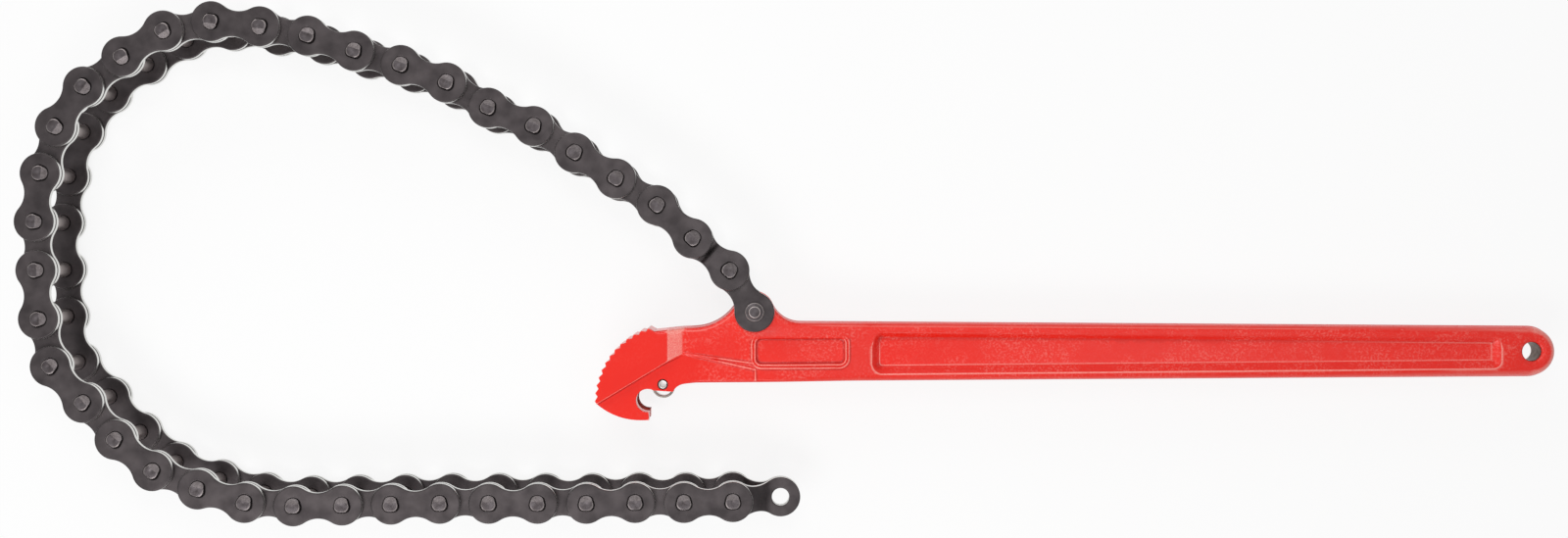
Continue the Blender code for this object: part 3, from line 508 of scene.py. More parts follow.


# Oiled spring steel: near black outside, and painted near white in the bore as painted light. Zinc plate: pale,
# smooth and even
spring_steel = rubbed_steel("oiled_spring_steel", "#2E2A29", "#4A4442", "#F2F0EC", 0.4, 0.3, 2 * MM)
plated_steel = rubbed_steel("zinc_plated_steel", "#7A736D", "#928A84", "#CFCBC6", 0.38, 0.22, 4 * MM)
pin_path = np.vstack([bow(LATCH_PIN, PIN_RADIUS, PIN_SLIT, 360 - PIN_SLIT, PIN_STEPS),
                      bow(LATCH_PIN, PIN_RADIUS - PIN_WALL, 360 - PIN_SLIT, PIN_SLIT, PIN_STEPS)])
points, faces, wear = eased_solid(pin_path, [], 0, PIN_LENGTH, PIN_EDGE)
wear = PIN_OUTER_WEAR * wear
# The bore is set fully bare, so it takes the near-white colour: painted light.
wear.reshape(-1, len(pin_path))[1:-1, len(pin_path) // 2:] = 1.0
set_piece("rolled_spring_pin", at_head(points), faces, wear, spring_steel, "wrench", ["spring_pin"])
ring_bore = RING_RADIUS - RING_WALL
ring_middle = (LATCH_PIN[0], LATCH_PIN[1] + PIN_RADIUS + PIN_PLAY - ring_bore)
points, faces, wear = eased_solid(bow(ring_middle, RING_RADIUS, 0, 360, RING_SIDES)[:-1],
                                  [hole_ring(ring_middle, ring_bore, RING_SIDES)], 0, RING_WIDTH, RING_EDGE)
set_piece("latch_tube_ring", at_head(points), faces, wear, plated_steel, "latch", ["latch_ring"])


# Forged body: one drop forging in medium-carbon steel, trimmed at its parting line, with the jaw's teeth,
# faces, slot and bores machined, and then dipped in red enamel. Both faces are one height map over a net
# of points, fine where the form turns; its sizes are in mm from the head's pivot and from the middle plane.
HANDLE_AXIS_Y = -21.3
HANDLE_HALF_WIDTH, HANDLE_END_X, HANDLE_END_RADIUS = 16.2, 411.8, 13.45
EAR_RADIUS, HANDLE_SIDE_FILLET, JAW_SIDE_FILLET = 10.8, 16.0, 26.0
BACK_LEVEL, BACK_SLOPE, BACK_END_X = -4.25, 0.1116, -52.4
TEETH_CENTRE, TEETH_RADIUS, TOOTH_DEPTH = (-43.1, -46.75), 40.4, 1.4
TOOTH_GAPS, TEETH_START, TEETH_END, TOOTH_LEAN_SHARE = 12, 108, 180, 0.38
HOOK_BACK_CENTRE, HOOK_BACK_RADIUS, HOOK_FOOT_Y = (-60.0, -22.4), 34.4, -56.8
NOTCH_CENTRE, NOTCH_RADIUS = (-55.9, -46.5), 6.1
PIN_CENTRE, PIN_BORE, PIVOT_BORE, EYELET_RADIUS = (-48.0, -38.0), 2.8, 4.3, 5.0
LATCH_BOSS_Y, THROAT_X, THROAT_RADIUS = -41.9, -36.0, 7.5
SLOT_RADIUS, SLOT_HALF_WIDTH, SLOT_LOW_Y = 8.6, 4.0, -62.0
FLASH_HALF_WIDTH, FLASH_ROOT, FLASH_HEIGHT, DRAFT = 0.5, 0.4, 0.25, 0.3
SLOT_END_X, SHOULDER_SHARE, SHOULDER_DRAFT = -36, 0.6, 0.45


def handle_edge_y(x, side):
    """Upper (1) or lower (-1) edge line of the tapering handle."""
    taper = (HANDLE_HALF_WIDTH - HANDLE_END_RADIUS) / HANDLE_END_X
    return HANDLE_AXIS_Y + side * (HANDLE_HALF_WIDTH - taper * x)


def ear_fillet(level, slope, radius, side):
    """Centre of the fillet between the ear and the line y = level + slope x, at its radius above the line
    and at both radii from the pivot, on the ear's right (1) or left (-1), and its bearing from the pivot."""
    stretch, height, reach = 1 + slope ** 2, level + radius * math.sqrt(1 + slope ** 2), EAR_RADIUS + radius
    root = math.sqrt((height * slope) ** 2 - stretch * (height ** 2 - reach ** 2))
    x = (side * root - height * slope) / stretch
    return (x, height + slope * x), math.degrees(math.atan2(height + slope * x, x))


def forging_outline():
    """Parting line, anticlockwise: handle's end, ear with its fillets, back, teeth, hook, notch and throat.
    A tooth's tip is on the teeth's circle, and its root nearer the centre and to the tip above it."""
    slope = (handle_edge_y(HANDLE_END_X, 1) - handle_edge_y(0, 1)) / HANDLE_END_X
    right, right_turn = ear_fillet(handle_edge_y(0, 1), slope, HANDLE_SIDE_FILLET, 1)
    left, left_turn = ear_fillet(BACK_LEVEL, BACK_SLOPE, JAW_SIDE_FILLET, -1)
    tips = np.linspace(TEETH_START, TEETH_END, TOOTH_GAPS + 1)
    roots = tips[:-1] + (tips[1] - tips[0]) * TOOTH_LEAN_SHARE
    turn = np.radians(np.concatenate([np.stack([tips[:-1], roots], axis=1).ravel(), tips[-1:]]))
    reach = TEETH_RADIUS - TOOTH_DEPTH * (np.arange(len(turn)) % 2)
    teeth = np.column_stack([TEETH_CENTRE[0] + reach * np.cos(turn), TEETH_CENTRE[1] + reach * np.sin(turn)])
    notch = bow(NOTCH_CENTRE, NOTCH_RADIUS, -84, -300, 40)
    throat = bow((THROAT_X, handle_edge_y(THROAT_X, -1) - THROAT_RADIUS), THROAT_RADIUS, 154, 90, 12)
    return np.vstack([
        bow((HANDLE_END_X, HANDLE_AXIS_Y), HANDLE_END_RADIUS, -90, 90, 36),
        bow(right, HANDLE_SIDE_FILLET, 270 + math.degrees(math.atan(slope)), right_turn + 180, 14),
        bow((0, 0), EAR_RADIUS, right_turn, left_turn, 26)[1:],
        bow(left, JAW_SIDE_FILLET, left_turn + 180, 270 + math.degrees(math.atan(BACK_SLOPE)), 14)[1:],
        [(BACK_END_X, BACK_LEVEL + BACK_SLOPE * BACK_END_X)], teeth,
        bow(HOOK_BACK_CENTRE, HOOK_BACK_RADIUS, 230, 270, 16), [(notch[0, 0], HOOK_FOOT_Y)], notch,
        [(throat[0, 0], LATCH_BOSS_Y)], throat])


def spread(path, spacing, closed=True):
    """Path with points added on its sides, so that none is longer than a spacing."""
    sides = np.roll(path, -1, axis=0) - path if closed else np.diff(path, axis=0)
    cuts = np.maximum(1, np.ceil(np.linalg.norm(sides, axis=1) / spacing)).astype(int)
    start = np.repeat(np.arange(len(cuts)), cuts)
    share = (np.arange(cuts.sum()) - np.repeat(np.cumsum(cuts) - cuts, cuts)) / cuts[start]
    full = path[start] + sides[start] * share[:, None]
    return full if closed else np.vstack([full, path[-1:]])


def signed_distance(spots, path):
    """Distance to the nearest side of a closed path, less than zero inside. The nearest point of a side
    is the foot of the perpendicular, held within it; a line along x from inside crosses an odd number of
    sides."""
    if len(spots) > 3000:
        parts = np.array_split(spots, len(spots) // 2000)
        return np.concatenate([signed_distance(part, path) for part in parts])
    side = np.roll(path, -1, axis=0) - path
    reach = spots[:, None] - path[None]
    share = np.clip((reach * side).sum(axis=2) / (side ** 2).sum(axis=1), 0, 1)
    nearest = np.linalg.norm(reach - share[..., None] * side, axis=2).min(axis=1)
    straddles = (reach[..., 1] >= 0) != (reach[..., 1] - side[:, 1] >= 0)
    slant = side[:, 0] * reach[..., 1] / np.where(side[:, 1] == 0, 1, side[:, 1])
    inside = (straddles & (reach[..., 0] < slant)).sum(axis=1) % 2 == 1
    return np.where(inside, -nearest, nearest)


def smooth_share(value, low, high):
    """0 below the low value and 1 above the high one, and 3 t squared less 2 t cubed between them."""
    share = np.clip((value - low) / (high - low), 0, 1)
    return share * share * (3 - 2 * share)


def rounded_box(low, high, corners, steps=8):
    """Rectangle with its own radius at each corner, anticlockwise from the lower right one."""
    signs = ((1, -1), (1, 1), (-1, 1), (-1, -1))
    return np.vstack([bow((high[0] - r if sx > 0 else low[0] + r, high[1] - r if sy > 0 else low[1] + r), r,
                          90 * quarter - 90, 90 * quarter, steps)
                      for quarter, ((sx, sy), r) in enumerate(zip(signs, corners))])


FORM_X = np.array([-45.9, -37.5, 14.0, 64.0, 428.25])
FORM_HEIGHT = np.array([16.5, 14.2, 14.2, 8.0, 6.65])
FORM_SOFTNESS = (0.1, 0.45, 2.5, 3.0)
JAW_EDGE, HEAD_EDGE, BAR_EDGE, END_EDGE = 0.3, 1.4, 0.9, 1.4
SKIN_RIPPLE = 0.035
CHEEK_HEIGHT, CHEEK_STEP, CHEEK_COSINE = 14.2, 0.8, 0.86
CHEEK_LINE = np.array([(-100.0, -58.5), (-45.9, -26.0), (-37.5, -22.2), (-20.0, -14.0)])
PANEL_LOW, PANEL_HIGH, PANEL_CORNER = (0.6, -27.6), (48.0, -13.8), 3.0
FRAME_REACH = np.array([-1.6, -1.0, -0.6, -0.15, 0.12, 0.45, 1.15, 1.85, 2.2, 2.55, 2.85, 3.3])
FRAME_HEIGHT = np.array([-1.2, -1.18, -1.0, 0.3, 0.72, 0.78, 0.3, 0.78, 0.7, 0.2, 0.0, 0])
FRAME_CREST, FRAME_RUN_OUT = 0.45, 6.5
RIDGES = (((-36.4, -21.8), (-0.4, -27.0), 0.75), ((-36.4, -21.8), (0.2, -30.2), 0.65),
          ((0.4, -30.0), (0.6, -36.0), 0.6))
RIDGE_HALF_WIDTH = 1.0
HOLLOW_LEFT, HOLLOW_RIGHT, HOLLOW_WIDE, HOLLOW_NARROW, HOLLOW_CORNER = 64.0, 393.4, 9.9, 7.0, 4.0
WEB_HEIGHT = 4.5
HOLLOW_RIM, HOLLOW_LOWER_RIM, HOLLOW_FOOT = 0.8, 2.4, -2.9
MOUTH_REACH, MOUTH_DEPTH = 2.8, 1.7
CROWN_DROP = 0.9
OUTLINE_SPACING, PANEL_SPACING, LINE_SPACING, NET_SPACING, NET_CLEARANCE = 1.8, 1.5, 1.2, 2.2, 0.9
BORE_SIDES, HOLLOW_ROWS = 40, 12

hollow_path = rounded_box((HOLLOW_LEFT, -HOLLOW_WIDE), (HOLLOW_RIGHT, HOLLOW_WIDE),
                          (2.6, 2.6, HOLLOW_CORNER, HOLLOW_CORNER))
hollow_share = (1 - HOLLOW_NARROW / HOLLOW_WIDE) * (hollow_path[:, 0] - HOLLOW_LEFT)
hollow_path[:, 1] = HANDLE_AXIS_Y + hollow_path[:, 1] * (1 - hollow_share / (HOLLOW_RIGHT - HOLLOW_LEFT))
panel_path = rounded_box(PANEL_LOW, PANEL_HIGH, (PANEL_CORNER,) * 4)


def hollow_rim(y):
    """How far outside its path the hollow's wall starts: further along its lower side."""
    lower = 1 - smooth_share(y, HANDLE_AXIS_Y + 2, HANDLE_AXIS_Y + 8)
    return HOLLOW_RIM + (HOLLOW_LOWER_RIM - HOLLOW_RIM) * lower


def forged_share(x):
    """1 where the forging keeps its parting line and draft, and 0 on the machined jaw."""
    return smooth_share(x, -38.0, -30.0)


def edge_radius(spots):
    """Rounding of the forging's edges: nearly sharp on the machined jaw, and growing along the handle."""
    x, y = spots.T
    head = np.maximum(smooth_share(x, -40, -26), smooth_share(x, -53.5, -50) * smooth_share(y, -17, -12))
    bar = JAW_EDGE + HEAD_EDGE * head + BAR_EDGE * smooth_share(x, -5, 60)
    return bar + END_EDGE * smooth_share(x, 280, 425)


def below_cheek_line(spots):
    """Distance below the slanting line across the jaw, square to it."""
    x, y = spots.T
    return (np.interp(x, CHEEK_LINE[:, 0], CHEEK_LINE[:, 1]) - y) * CHEEK_COSINE


def ridge_lift(spots):
    """Height of the highest ridge at each spot: (1 - u squared) squared across, where u is the distance
    from its line over its half width, and fading in from its first end."""
    lift = np.zeros(len(spots))
    for start, end, height in RIDGES:
        along = np.subtract(end, start)
        share = np.clip(((spots - start) @ along) / (along @ along), 0, 1)
        across = np.linalg.norm(spots - start - share[:, None] * along, axis=1) / RIDGE_HALF_WIDTH
        fade = smooth_share(share, -0.1, 0.18)
        lift = np.maximum(lift, height * fade * np.clip(1 - across ** 2, 0, 1) ** 2)
    return lift


def forging_height(spots, from_edge):
    """Half thickness of the forging at each spot: the side line with soft corners, less the cheeks' step,
    plus the frame and ridges, sunk to the web in the hollow and round the eyelet, and rounded at the edge
    by a quarter circle in the distance from it."""
    x, y = spots.T
    slopes = np.diff(FORM_HEIGHT) / np.diff(FORM_X)
    height = np.full(len(spots), FORM_HEIGHT[0])
    for place, change, softness in zip(FORM_X, np.diff(np.concatenate([[0], slopes])), FORM_SOFTNESS):
        height += change * softness * np.logaddexp(0, (x - place) / softness)
    on_jaw = 1 - smooth_share(below_cheek_line(spots), 0, CHEEK_STEP)
    height = np.where(height > CHEEK_HEIGHT, CHEEK_HEIGHT + (height - CHEEK_HEIGHT) * on_jaw, height)
    from_panel = signed_distance(spots, panel_path)
    frame_lift = np.interp(from_panel, FRAME_REACH, FRAME_HEIGHT)
    runs_out = FRAME_HEIGHT.max() * (1 - smooth_share(from_panel, FRAME_CREST, FRAME_RUN_OUT))
    above = smooth_share(y, PANEL_HIGH[1] - 0.8, PANEL_HIGH[1] + 0.6) * (from_panel > FRAME_CREST)
    frame_lift += (runs_out - frame_lift) * above
    height += np.where(frame_lift < 0, frame_lift, np.maximum(frame_lift, ridge_lift(spots)))
    sunk = smooth_share(-signed_distance(spots, hollow_path), -hollow_rim(y), -HOLLOW_FOOT)
    height += (WEB_HEIGHT - height) * sunk
    crown = ((y - HANDLE_AXIS_Y) / HANDLE_HALF_WIDTH) ** 2
    height -= CROWN_DROP * smooth_share(x, 50, 80) * crown * (1 - sunk)
    from_eyelet = np.hypot(x - HANDLE_END_X, y - HANDLE_AXIS_Y) - EYELET_RADIUS
    mouth = 1 - np.clip(from_eyelet / MOUTH_REACH, 0, 1)
    height -= MOUTH_DEPTH * (1 - np.sqrt(np.clip(1 - mouth ** 2, 0, 1)))
    radius = edge_radius(spots)
    inward = np.clip(1 - from_edge / radius, 0, 1)
    height -= radius * (1 - np.sqrt(1 - inward ** 2))
    ripple = np.sin(x / 4.7 + 1.3 * np.sin(y / 3.9)) * np.cos(y / 3.1 + np.sin(x / 7.9))
    ripple += np.sin(x / 11.3 - y / 6.1)
    return height + SKIN_RIPPLE * ripple * forged_share(x) * smooth_share(from_edge, 0, 3)


outline = spread(forging_outline(), OUTLINE_SPACING)
face_path = outline - outward(outline) * ((DRAFT + FLASH_HEIGHT) * forged_share(outline[:, 0]))[:, None]
EYELET_CENTRE = (HANDLE_END_X, HANDLE_AXIS_Y)
bores = [((0, 0), PIVOT_BORE), (PIN_CENTRE, PIN_BORE), (EYELET_CENTRE, EYELET_RADIUS)]
lean = math.degrees(math.atan2(PIN_CENTRE[1] - NOTCH_CENTRE[1], PIN_CENTRE[0] - NOTCH_CENTRE[0])) + 90
slot_path = np.vstack([
    [(NOTCH_CENTRE[0] - SLOT_RADIUS, SLOT_LOW_Y)], bow(NOTCH_CENTRE, SLOT_RADIUS, 180, lean, 12),
    bow(PIN_CENTRE, SLOT_RADIUS, lean, 0, 20), [(PIN_CENTRE[0] + SLOT_RADIUS, SLOT_LOW_Y)]])

# closed lines and open lines of the net, which the triangles keep to
turns = np.radians([0, 18, 36, 54, 72, 90])
rings = [face_path - outward(face_path) * (edge_radius(face_path) * (1 - math.cos(turn)))[:, None]
         for turn in turns]
rings += [bow(centre, radius, 0, 360, BORE_SIDES)[:-1] for centre, radius in bores]
rings += [bow(EYELET_CENTRE, EYELET_RADIUS + MOUTH_REACH * reach, 0, 360, BORE_SIDES)[:-1]
          for reach in (0.06, 0.2, 0.45, 0.75, 1)]
hollow_line, panel_line = spread(hollow_path, OUTLINE_SPACING), spread(panel_path, PANEL_SPACING)
rings += [hollow_line + outward(hollow_line) * reach
          for reach in np.linspace(HOLLOW_LOWER_RIM, HOLLOW_FOOT, HOLLOW_ROWS)]
rings += [panel_line + outward(panel_line) * reach for reach in FRAME_REACH]
rings.append(spread(slot_path, PANEL_SPACING))
lines = [np.array([(x, -30.0), (x, -5.0)])
         for x in (-46.4, -46.1, -45.9, -45.7, -45.4, -38.6, -37.9, -37.5, -37.1, -36.4)]
lines += [CHEEK_LINE[:3] - (0, shift / CHEEK_COSINE)
          for shift in (-0.4, -0.05, 0.1, 0.27, 0.4, 0.53, 0.7, 0.85, 1.2)]
for start, end, _ in RIDGES:
    beside = np.array([-(end[1] - start[1]), end[0] - start[0]]) / math.dist(start, end)
    lines += [np.array([start, end]) + beside * reach
              for reach in (-1.35, -1.0, -0.7, -0.35, 0, 0.35, 0.7, 1.0, 1.35)]
lines = [spread(line, LINE_SPACING, closed=False) for line in lines]

net_x, net_y = np.meshgrid(np.arange(-84, 426, NET_SPACING), np.arange(-58, 12, NET_SPACING))
filler = np.column_stack([net_x.ravel(), net_y.ravel()])
filler = filler[signed_distance(filler, face_path) < -1]
spots = np.vstack(rings + lines)
far = np.concatenate([np.linalg.norm(part[:, None] - spots[None], axis=2).min(axis=1) > NET_CLEARANCE
                      for part in np.array_split(filler, 40)])
links, first = [], 0
for line, closed in [(ring, True) for ring in rings] + [(line, False) for line in lines]:
    numbers = first + np.arange(len(line))
    links += np.column_stack([numbers, np.roll(numbers, -1)])[:None if closed else -1].tolist()
    first += len(line)
seeds = [Vector(spot) for spot in np.vstack([spots, filler[far]]).tolist()]
net = delaunay_2d_cdt(seeds, links, [], 0, 1e-4)
spots, triangles = np.array([tuple(spot) for spot in net[0]]), np.array(net[2])
middles = spots[triangles].mean(axis=1)
kept = signed_distance(middles, face_path) < 0
for centre, radius in bores:
    kept &= np.linalg.norm(middles - centre, axis=1) > radius * 0.998
triangles, middles = triangles[kept], middles[kept]
one, two = (spots[triangles[:, corner]] - spots[triangles[:, 0]] for corner in (1, 2))
area = one[:, 0] * two[:, 1] - one[:, 1] * two[:, 0]
triangles[area < 0] = triangles[area < 0][:, ::-1]
in_slot = signed_distance(middles, slot_path) < 0


def rim(chosen):
    """Directed sides of the chosen triangles that no other chosen one shares, with these on their left."""
    sides = np.vstack([chosen[:, [0, 1]], chosen[:, [1, 2]], chosen[:, [2, 0]]])
    key = sides[:, 0] * len(spots) + sides[:, 1]
    return sides[~np.isin(key, sides[:, 1] * len(spots) + sides[:, 0])]


from_edge = np.abs(signed_distance(spots, face_path))
top = forging_height(spots, from_edge)
walls, slot_walls = rim(triangles), rim(triangles[in_slot])
wall_key = walls[:, 0] * len(spots) + walls[:, 1]
slot_rim = np.isin(slot_walls[:, 0] * len(spots) + slot_walls[:, 1], wall_key)
open_walls = np.isin(wall_key, (slot_walls[:, 0] * len(spots) + slot_walls[:, 1])[slot_rim])

away = np.zeros_like(spots)
along = spots[walls[:, 1]] - spots[walls[:, 0]]
square = np.column_stack([along[:, 1], -along[:, 0]]) / np.linalg.norm(along, axis=1)[:, None]
for corner in (0, 1):
    np.add.at(away, walls[:, corner], square)
away /= np.maximum(np.linalg.norm(away, axis=1), 1e-9)[:, None]
for centre, radius in bores:
    away[np.linalg.norm(spots - centre, axis=1) < radius + 0.5] = 0
shoulder = np.where(spots[:, 0] < SLOT_END_X, SLOT_HALF_WIDTH, SHOULDER_SHARE * top)
levels = [(top, 0.0), (shoulder, SHOULDER_DRAFT * DRAFT),
          (np.full_like(top, FLASH_HALF_WIDTH + FLASH_ROOT), DRAFT),
          (np.full_like(top, FLASH_HALF_WIDTH), DRAFT + FLASH_HEIGHT)]
layers = [np.column_stack([spots + away * (push * forged_share(spots[:, 0]))[:, None], level])
          for level, push in levels]
layers += [layer * (1, 1, -1) for layer in reversed(layers)]
count, last = len(spots), len(layers) - 1
flat_slot = np.column_stack([spots, np.full(count, SLOT_HALF_WIDTH)])
layers += [flat_slot, flat_slot * (1, 1, -1)]
faces = [triangles, triangles[:, ::-1] + last * count,
         triangles[in_slot][:, ::-1] + (last + 1) * count, triangles[in_slot] + (last + 2) * count]
faces = np.vstack(faces).tolist()


def wall_quads(sides, step):
    """Quads along directed sides, from one layer down to the next."""
    a, b = sides[:, 0] + step * count, sides[:, 1] + step * count
    return np.column_stack([a, a + count, b + count, b]).tolist()


for step in range(last):
    at_face = step in (0, last - 1)
    faces += wall_quads(walls if at_face else walls[~open_walls], step)
    if not at_face:
        faces += wall_quads(slot_walls[~slot_rim][:, ::-1], step)

solid = bmesh.new()
body_mesh = bpy.data.meshes.new("forged_body")
body_mesh.from_pydata(at_head(np.vstack(layers) * MM).tolist(), [], faces)
solid.from_mesh(body_mesh)
bmesh.ops.delete(solid, geom=[spot for spot in solid.verts if not spot.link_faces], context="VERTS")
bmesh.ops.remove_doubles(solid, verts=solid.verts, dist=WELD)
bmesh.ops.dissolve_degenerate(solid, edges=solid.edges, dist=WELD / 2)
solid.to_mesh(body_mesh)
solid.free()


def edge_turn(mesh, whole):
    """How far each point stands out, or in where it is less than zero: the mean, over the sides that meet
    there, of how steeply they fall away from the point's normal, as a share of what counts as whole, and
    averaged once with its neighbours."""
    place, normal = mesh_array(mesh.vertices, "co", 3), mesh_array(mesh.vertex_normals, "vector", 3)
    ends = mesh_array(mesh.edges, "vertices", 2, np.int32)
    ends = np.vstack([ends, ends[:, ::-1]])
    step = place[ends[:, 1]] - place[ends[:, 0]]
    fall = -(step * normal[ends[:, 0]]).sum(axis=1) / np.maximum(np.linalg.norm(step, axis=1), 1e-9)
    meeting = np.bincount(ends[:, 0], minlength=len(place))
    stands = np.clip(np.bincount(ends[:, 0], fall, len(place)) / meeting / whole, -1, 1)
    return (stands + np.bincount(ends[:, 0], stands[ends[:, 1]], len(place)) / meeting) / 2


body_spots = (mesh_array(body_mesh.vertices, "co", 3) - rivet_centres[0]) / MM
body_x, body_y, body_z = body_spots.T
flat_spots, on_face = body_spots[:, :2], np.abs(body_z) > WEB_HEIGHT - 0.1
below_cheek = below_cheek_line(flat_spots)
machined = np.maximum(1 - smooth_share(body_x, -46.5, -45.5),
                      smooth_share(below_cheek, 0, 1) * (1 - smooth_share(body_x, -37, -18)))
# The jaw's sloped facet, which gets a painted sheen in the pale edge colour.
painted_facet_sheen = (smooth_share(body_x, -45.9, -45.4) * (1 - smooth_share(body_x, -38.5, -35.5))
         * (1 - smooth_share(below_cheek, -0.35, -0.05)) * (np.abs(body_z) > 12))


def line_at(distance, middle, half):
    """1 on a line at a distance from a path, falling off to either side as a bell of that half width."""
    return np.exp(-((distance - middle) / half) ** 2)


# Painted highlight lines in the pale edge colour: along the hollow's rim and foot on its lower, lit side, and
# along the head's upper edge.
hollow_distance = signed_distance(flat_spots, hollow_path)
rim_distance = -signed_distance(flat_spots, face_path)
lit_lower_side = 1 - smooth_share(body_y, HANDLE_AXIS_Y + 4, HANDLE_AXIS_Y + 8)
painted_hollow_highlights = (0.85 * line_at(hollow_distance - hollow_rim(body_y), -0.3, 0.5)
                + 0.75 * line_at(hollow_distance, -2.6, 0.45)) * lit_lower_side
painted_edge_highlight = (0.58 * line_at(rim_distance, 1.7, 0.42) * smooth_share(body_x, -50, -44)
             * (body_y > HANDLE_AXIS_Y + 2))
near_panel = signed_distance(flat_spots, panel_path) < 3.4
# The frame's top side, where the pale edges are held back as painted shade.
shaded_frame_top = smooth_share(body_y, PANEL_HIGH[1] - 1, PANEL_HIGH[1]) * near_panel
from_pin = np.linalg.norm(flat_spots - PIN_CENTRE, axis=1)
turn = edge_turn(body_mesh, 0.16)
# Pale on convex edges, partly thin enamel and partly painted highlight.
thin_enamel_and_highlight = np.maximum(turn, 0) * (1 - 0.7 * shaded_frame_top) * smooth_share(from_pin, 3.2, 4.5) + 0.6 * painted_facet_sheen
keep_values(body_mesh, "wear", np.maximum(thin_enamel_and_highlight, np.maximum(painted_hollow_highlights, painted_edge_highlight) * on_face))
# Deeper red in concave corners: partly pooled enamel, partly painted shade.
keep_values(body_mesh, "pooled_and_shade", np.maximum(-turn, 0))
keep_values(body_mesh, "skin", 1 - 0.9 * machined)

# Steel of the hanging hole's bore, reamed after the dip, in a dark brown-grey
bored_steel = rubbed_steel("reamed_steel_bore", "#5A4C46", "#7B706A", "#A59C96", 0.42, 0.3, 2 * MM)

# Enamel in the slot and on the far cheek's notch wall, painted dark red-brown and dull as painted shade,
# mottled
SHADE_MOTTLE = 1.5 * MM
shaded_slot_enamel, tree, shader = new_material("painted_shade_slot_enamel")
brown = mixed(tree, noise(tree, SHADE_MOTTLE, 3), linear("#7E2218"), linear("#B04A3C"))
set_inputs(tree, shader, {"Base Color": brown, "Roughness": 0.8, "Specular IOR Level": 0.1})

# Dipped alkyd enamel: an even warm red over the forging's scaly skin, which shows through as soft lumps
# about 1.1 mm across and a fine orange peel, with pale painted glints on the lumps. It is paler on convex
# edges, partly where it draws back from them and partly as painted highlight, and deeper red in corners, partly
# pooled and partly painted shade
ENAMEL_RED, ENAMEL_DEEP, ENAMEL_THIN_AND_SHEEN, ENAMEL_POOLED_AND_SHADE = "#F01F0A", "#E91A08", "#FFB0A4", "#B20A04"
SCALE_LUMP, ORANGE_PEEL, ENAMEL_CLOUD = 1.1 * MM, 0.45 * MM, 18 * MM
LUMP_DEPTH, PEEL_DEPTH = 0.2 * MM, 0.03 * MM
enamel, tree, shader = new_material("red_enamel_over_forging_scale")
cloud, peel = noise(tree, ENAMEL_CLOUD, 3), noise(tree, ORANGE_PEEL, 2)
lumps = noise(tree, SCALE_LUMP, 3, 0.55)
wear, skin, pooled_and_shade = (add_node(tree, "ShaderNodeAttribute", {}, "Fac", attribute_name=name)
                      for name in ("wear", "skin", "pooled_and_shade"))
red = mixed(tree, cloud, linear(ENAMEL_DEEP), linear(ENAMEL_RED))
# Pale edge colour, partly thin enamel and partly painted highlight, broken up by the orange peel
broken = ranged(tree, peel, 0.38, 0.62, 0.4, 0.9)
edge = ranged(tree, wear, 0.36, 0.75, curve="SMOOTHSTEP")
thin_and_sheen = worked_out(tree, "MULTIPLY", edge, broken)
# Deeper red in concave corners, partly pooled enamel and partly painted shade
in_corner = ranged(tree, pooled_and_shade, 0.15, 0.7, 0, 0.85)
deeper = mixed(tree, in_corner, red, linear(ENAMEL_POOLED_AND_SHADE))
# Pale specks on the forged skin's lumps: painted glints.
painted_glint = ranged(tree, lumps, 0.48, 0.7, 0, 0.24)
patch = ranged(tree, cloud, 0.4, 0.58, 0.15)
forged_glints = worked_out(tree, "MULTIPLY", worked_out(tree, "MULTIPLY", painted_glint, patch), skin)
pale = worked_out(tree, "MAXIMUM", thin_and_sheen, forged_glints)
colour = mixed(tree, pale, deeper, linear(ENAMEL_THIN_AND_SHEEN))
lump_bump = add_node(tree, "ShaderNodeBump", {"Height": lumps, "Distance": LUMP_DEPTH, "Strength": skin})
peel_bump = add_node(tree, "ShaderNodeBump",
                     {"Height": peel, "Distance": PEEL_DEPTH, "Strength": skin, "Normal": lump_bump})
gloss = ranged(tree, skin, 0, 1, 0.2, 0.27)
set_inputs(tree, shader, {"Base Color": colour, "Normal": peel_bump, "Roughness": gloss,
                          "Specular IOR Level": 0.4, "IOR": 1.5})

for material in (enamel, bored_steel, shaded_slot_enamel):
    body_mesh.materials.append(material)
middles = (mesh_array(body_mesh.polygons, "center", 3) - rivet_centres[0]) / MM
from_eyelet = np.linalg.norm(middles[:, :2] - EYELET_CENTRE, axis=1)
from_notch = np.linalg.norm(middles[:, :2] - NOTCH_CENTRE, axis=1)
level = middles[:, 2]
# The slot's faces and the far cheek's notch wall take the painted shade enamel.
in_slot = (np.abs(level) < SLOT_HALF_WIDTH + 0.01) & (middles[:, 0] < SLOT_END_X)
in_slot &= signed_distance(middles[:, :2], slot_path) < 0.1
far_cheek = (from_notch < NOTCH_RADIUS + 0.1) & (level < 0) & (level > -CHEEK_HEIGHT + 0.5)
finish = np.where(from_eyelet < EYELET_RADIUS + 0.08, 1, np.where(in_slot | far_cheek, 2, 0))
body_mesh.polygons.foreach_set("material_index", finish.astype(np.int32))
body_mesh.shade_smooth()
body_mesh.set_sharp_from_angle(angle=math.radians(42))
forged_body = new_object("forged_body", body_mesh)
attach(forged_body, "wrench")
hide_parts("wrench_body")


# Table and light: matt white paper under the wrench, which looks white and yet keeps the shadow, in a
# pale studio with four softboxes.
TABLE_REACH = 4
PAPER_SEEN, STUDIO_LEVEL = 0.86, 0.34

floor_mesh = bpy.data.meshes.new("table")
table_corners = [(TABLE_REACH * x, TABLE_REACH * y, 0) for x, y in ((-1, -1), (1, -1), (1, 1), (-1, 1))]
floor_mesh.from_pydata(table_corners, [], [(0, 1, 2, 3)])
new_object("table", floor_mesh)


def seen_share(tree):
    """1 for rays from the camera, a mirror or a glass, and 0 for the rest."""
    rays = add_node(tree, "ShaderNodeLightPath", {}).node.outputs
    first = worked_out(tree, "MAXIMUM", rays["Is Camera Ray"], rays["Is Glossy Ray"])
    return worked_out(tree, "MAXIMUM", first, rays["Is Transmission Ray"])


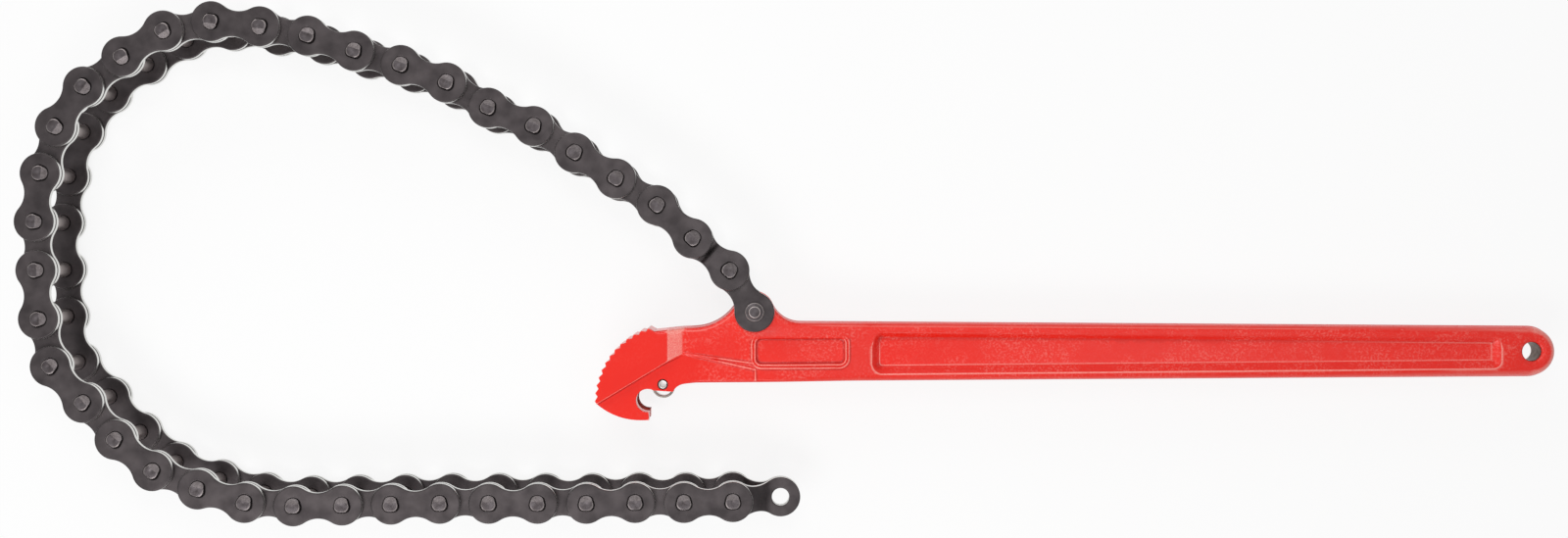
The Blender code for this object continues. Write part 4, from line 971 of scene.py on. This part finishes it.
# Matt paper: an even white without a shine
paper, tree, shader = new_material("white_table_paper")
set_inputs(tree, shader, {"Base Color": linear("#F4F4F4"), "Roughness": 0.9, "Specular IOR Level": 0.0})
glow = add_node(tree, "ShaderNodeEmission", {"Color": (1, 1, 1, 1), "Strength": 1.0})
seen = worked_out(tree, "MULTIPLY", seen_share(tree), PAPER_SEEN)
sheet = add_node(tree, "ShaderNodeMixShader", {"Fac": seen, 1: shader.outputs[0], 2: glow})
set_inputs(tree, tree.nodes["Material Output"], {"Surface": sheet})
floor_mesh.materials.append(paper)

world = bpy.data.worlds.new("studio")
bpy.context.scene.world = world
world.use_nodes = True
tree = world.node_tree
brightness = ranged(tree, seen_share(tree), 0, 1, STUDIO_LEVEL)
set_inputs(tree, tree.nodes["Background"], {"Color": (1, 1, 1, 1), "Strength": brightness})


def softbox(name, place, size, power):
    """Area lamp at a place, aimed at the origin."""
    lamp = bpy.data.lights.new(name, "AREA")
    lamp.shape, lamp.size, lamp.size_y, lamp.energy = "RECTANGLE", *size, power
    holder = new_object(name, lamp)
    holder.location = place
    holder.rotation_euler = (-Vector(place)).to_track_quat("-Z", "Y").to_euler()
    holder.visible_camera = False


softbox("softbox_side", (-0.5, 1.0, 0.6), (1.0, 0.5), 4.8)
softbox("softbox_above", (-0.05, 0.3, 0.92), (0.3, 0.3), 1.5)
softbox("softbox_low", (-0.35, -0.6, 0.82), (0.7, 0.35), 5.2)
softbox("softbox_right", (0.42, -0.1, 0.86), (0.28, 0.2), 0.45)


# Camera: straight down from 858 mm, over the spot where the chain's two rows of plates hide each other
# in the photo. Its shift is in the photo's pixels.
LENS_AND_SENSOR, PHOTO_WIDTH = 36, 1600

camera_lens = bpy.data.cameras.new("camera")
camera = new_object("camera", camera_lens)
camera_lens.lens, camera_lens.sensor_width = LENS_AND_SENSOR, LENS_AND_SENSOR
camera_lens.shift_x, camera_lens.shift_y = 55 / PHOTO_WIDTH, -14.5 / PHOTO_WIDTH
camera.location = (-32.75 * MM, 4.67 * MM, 858.4 * MM)
bpy.context.scene.camera = camera
bpy.context.scene.view_settings.view_transform = "Standard"
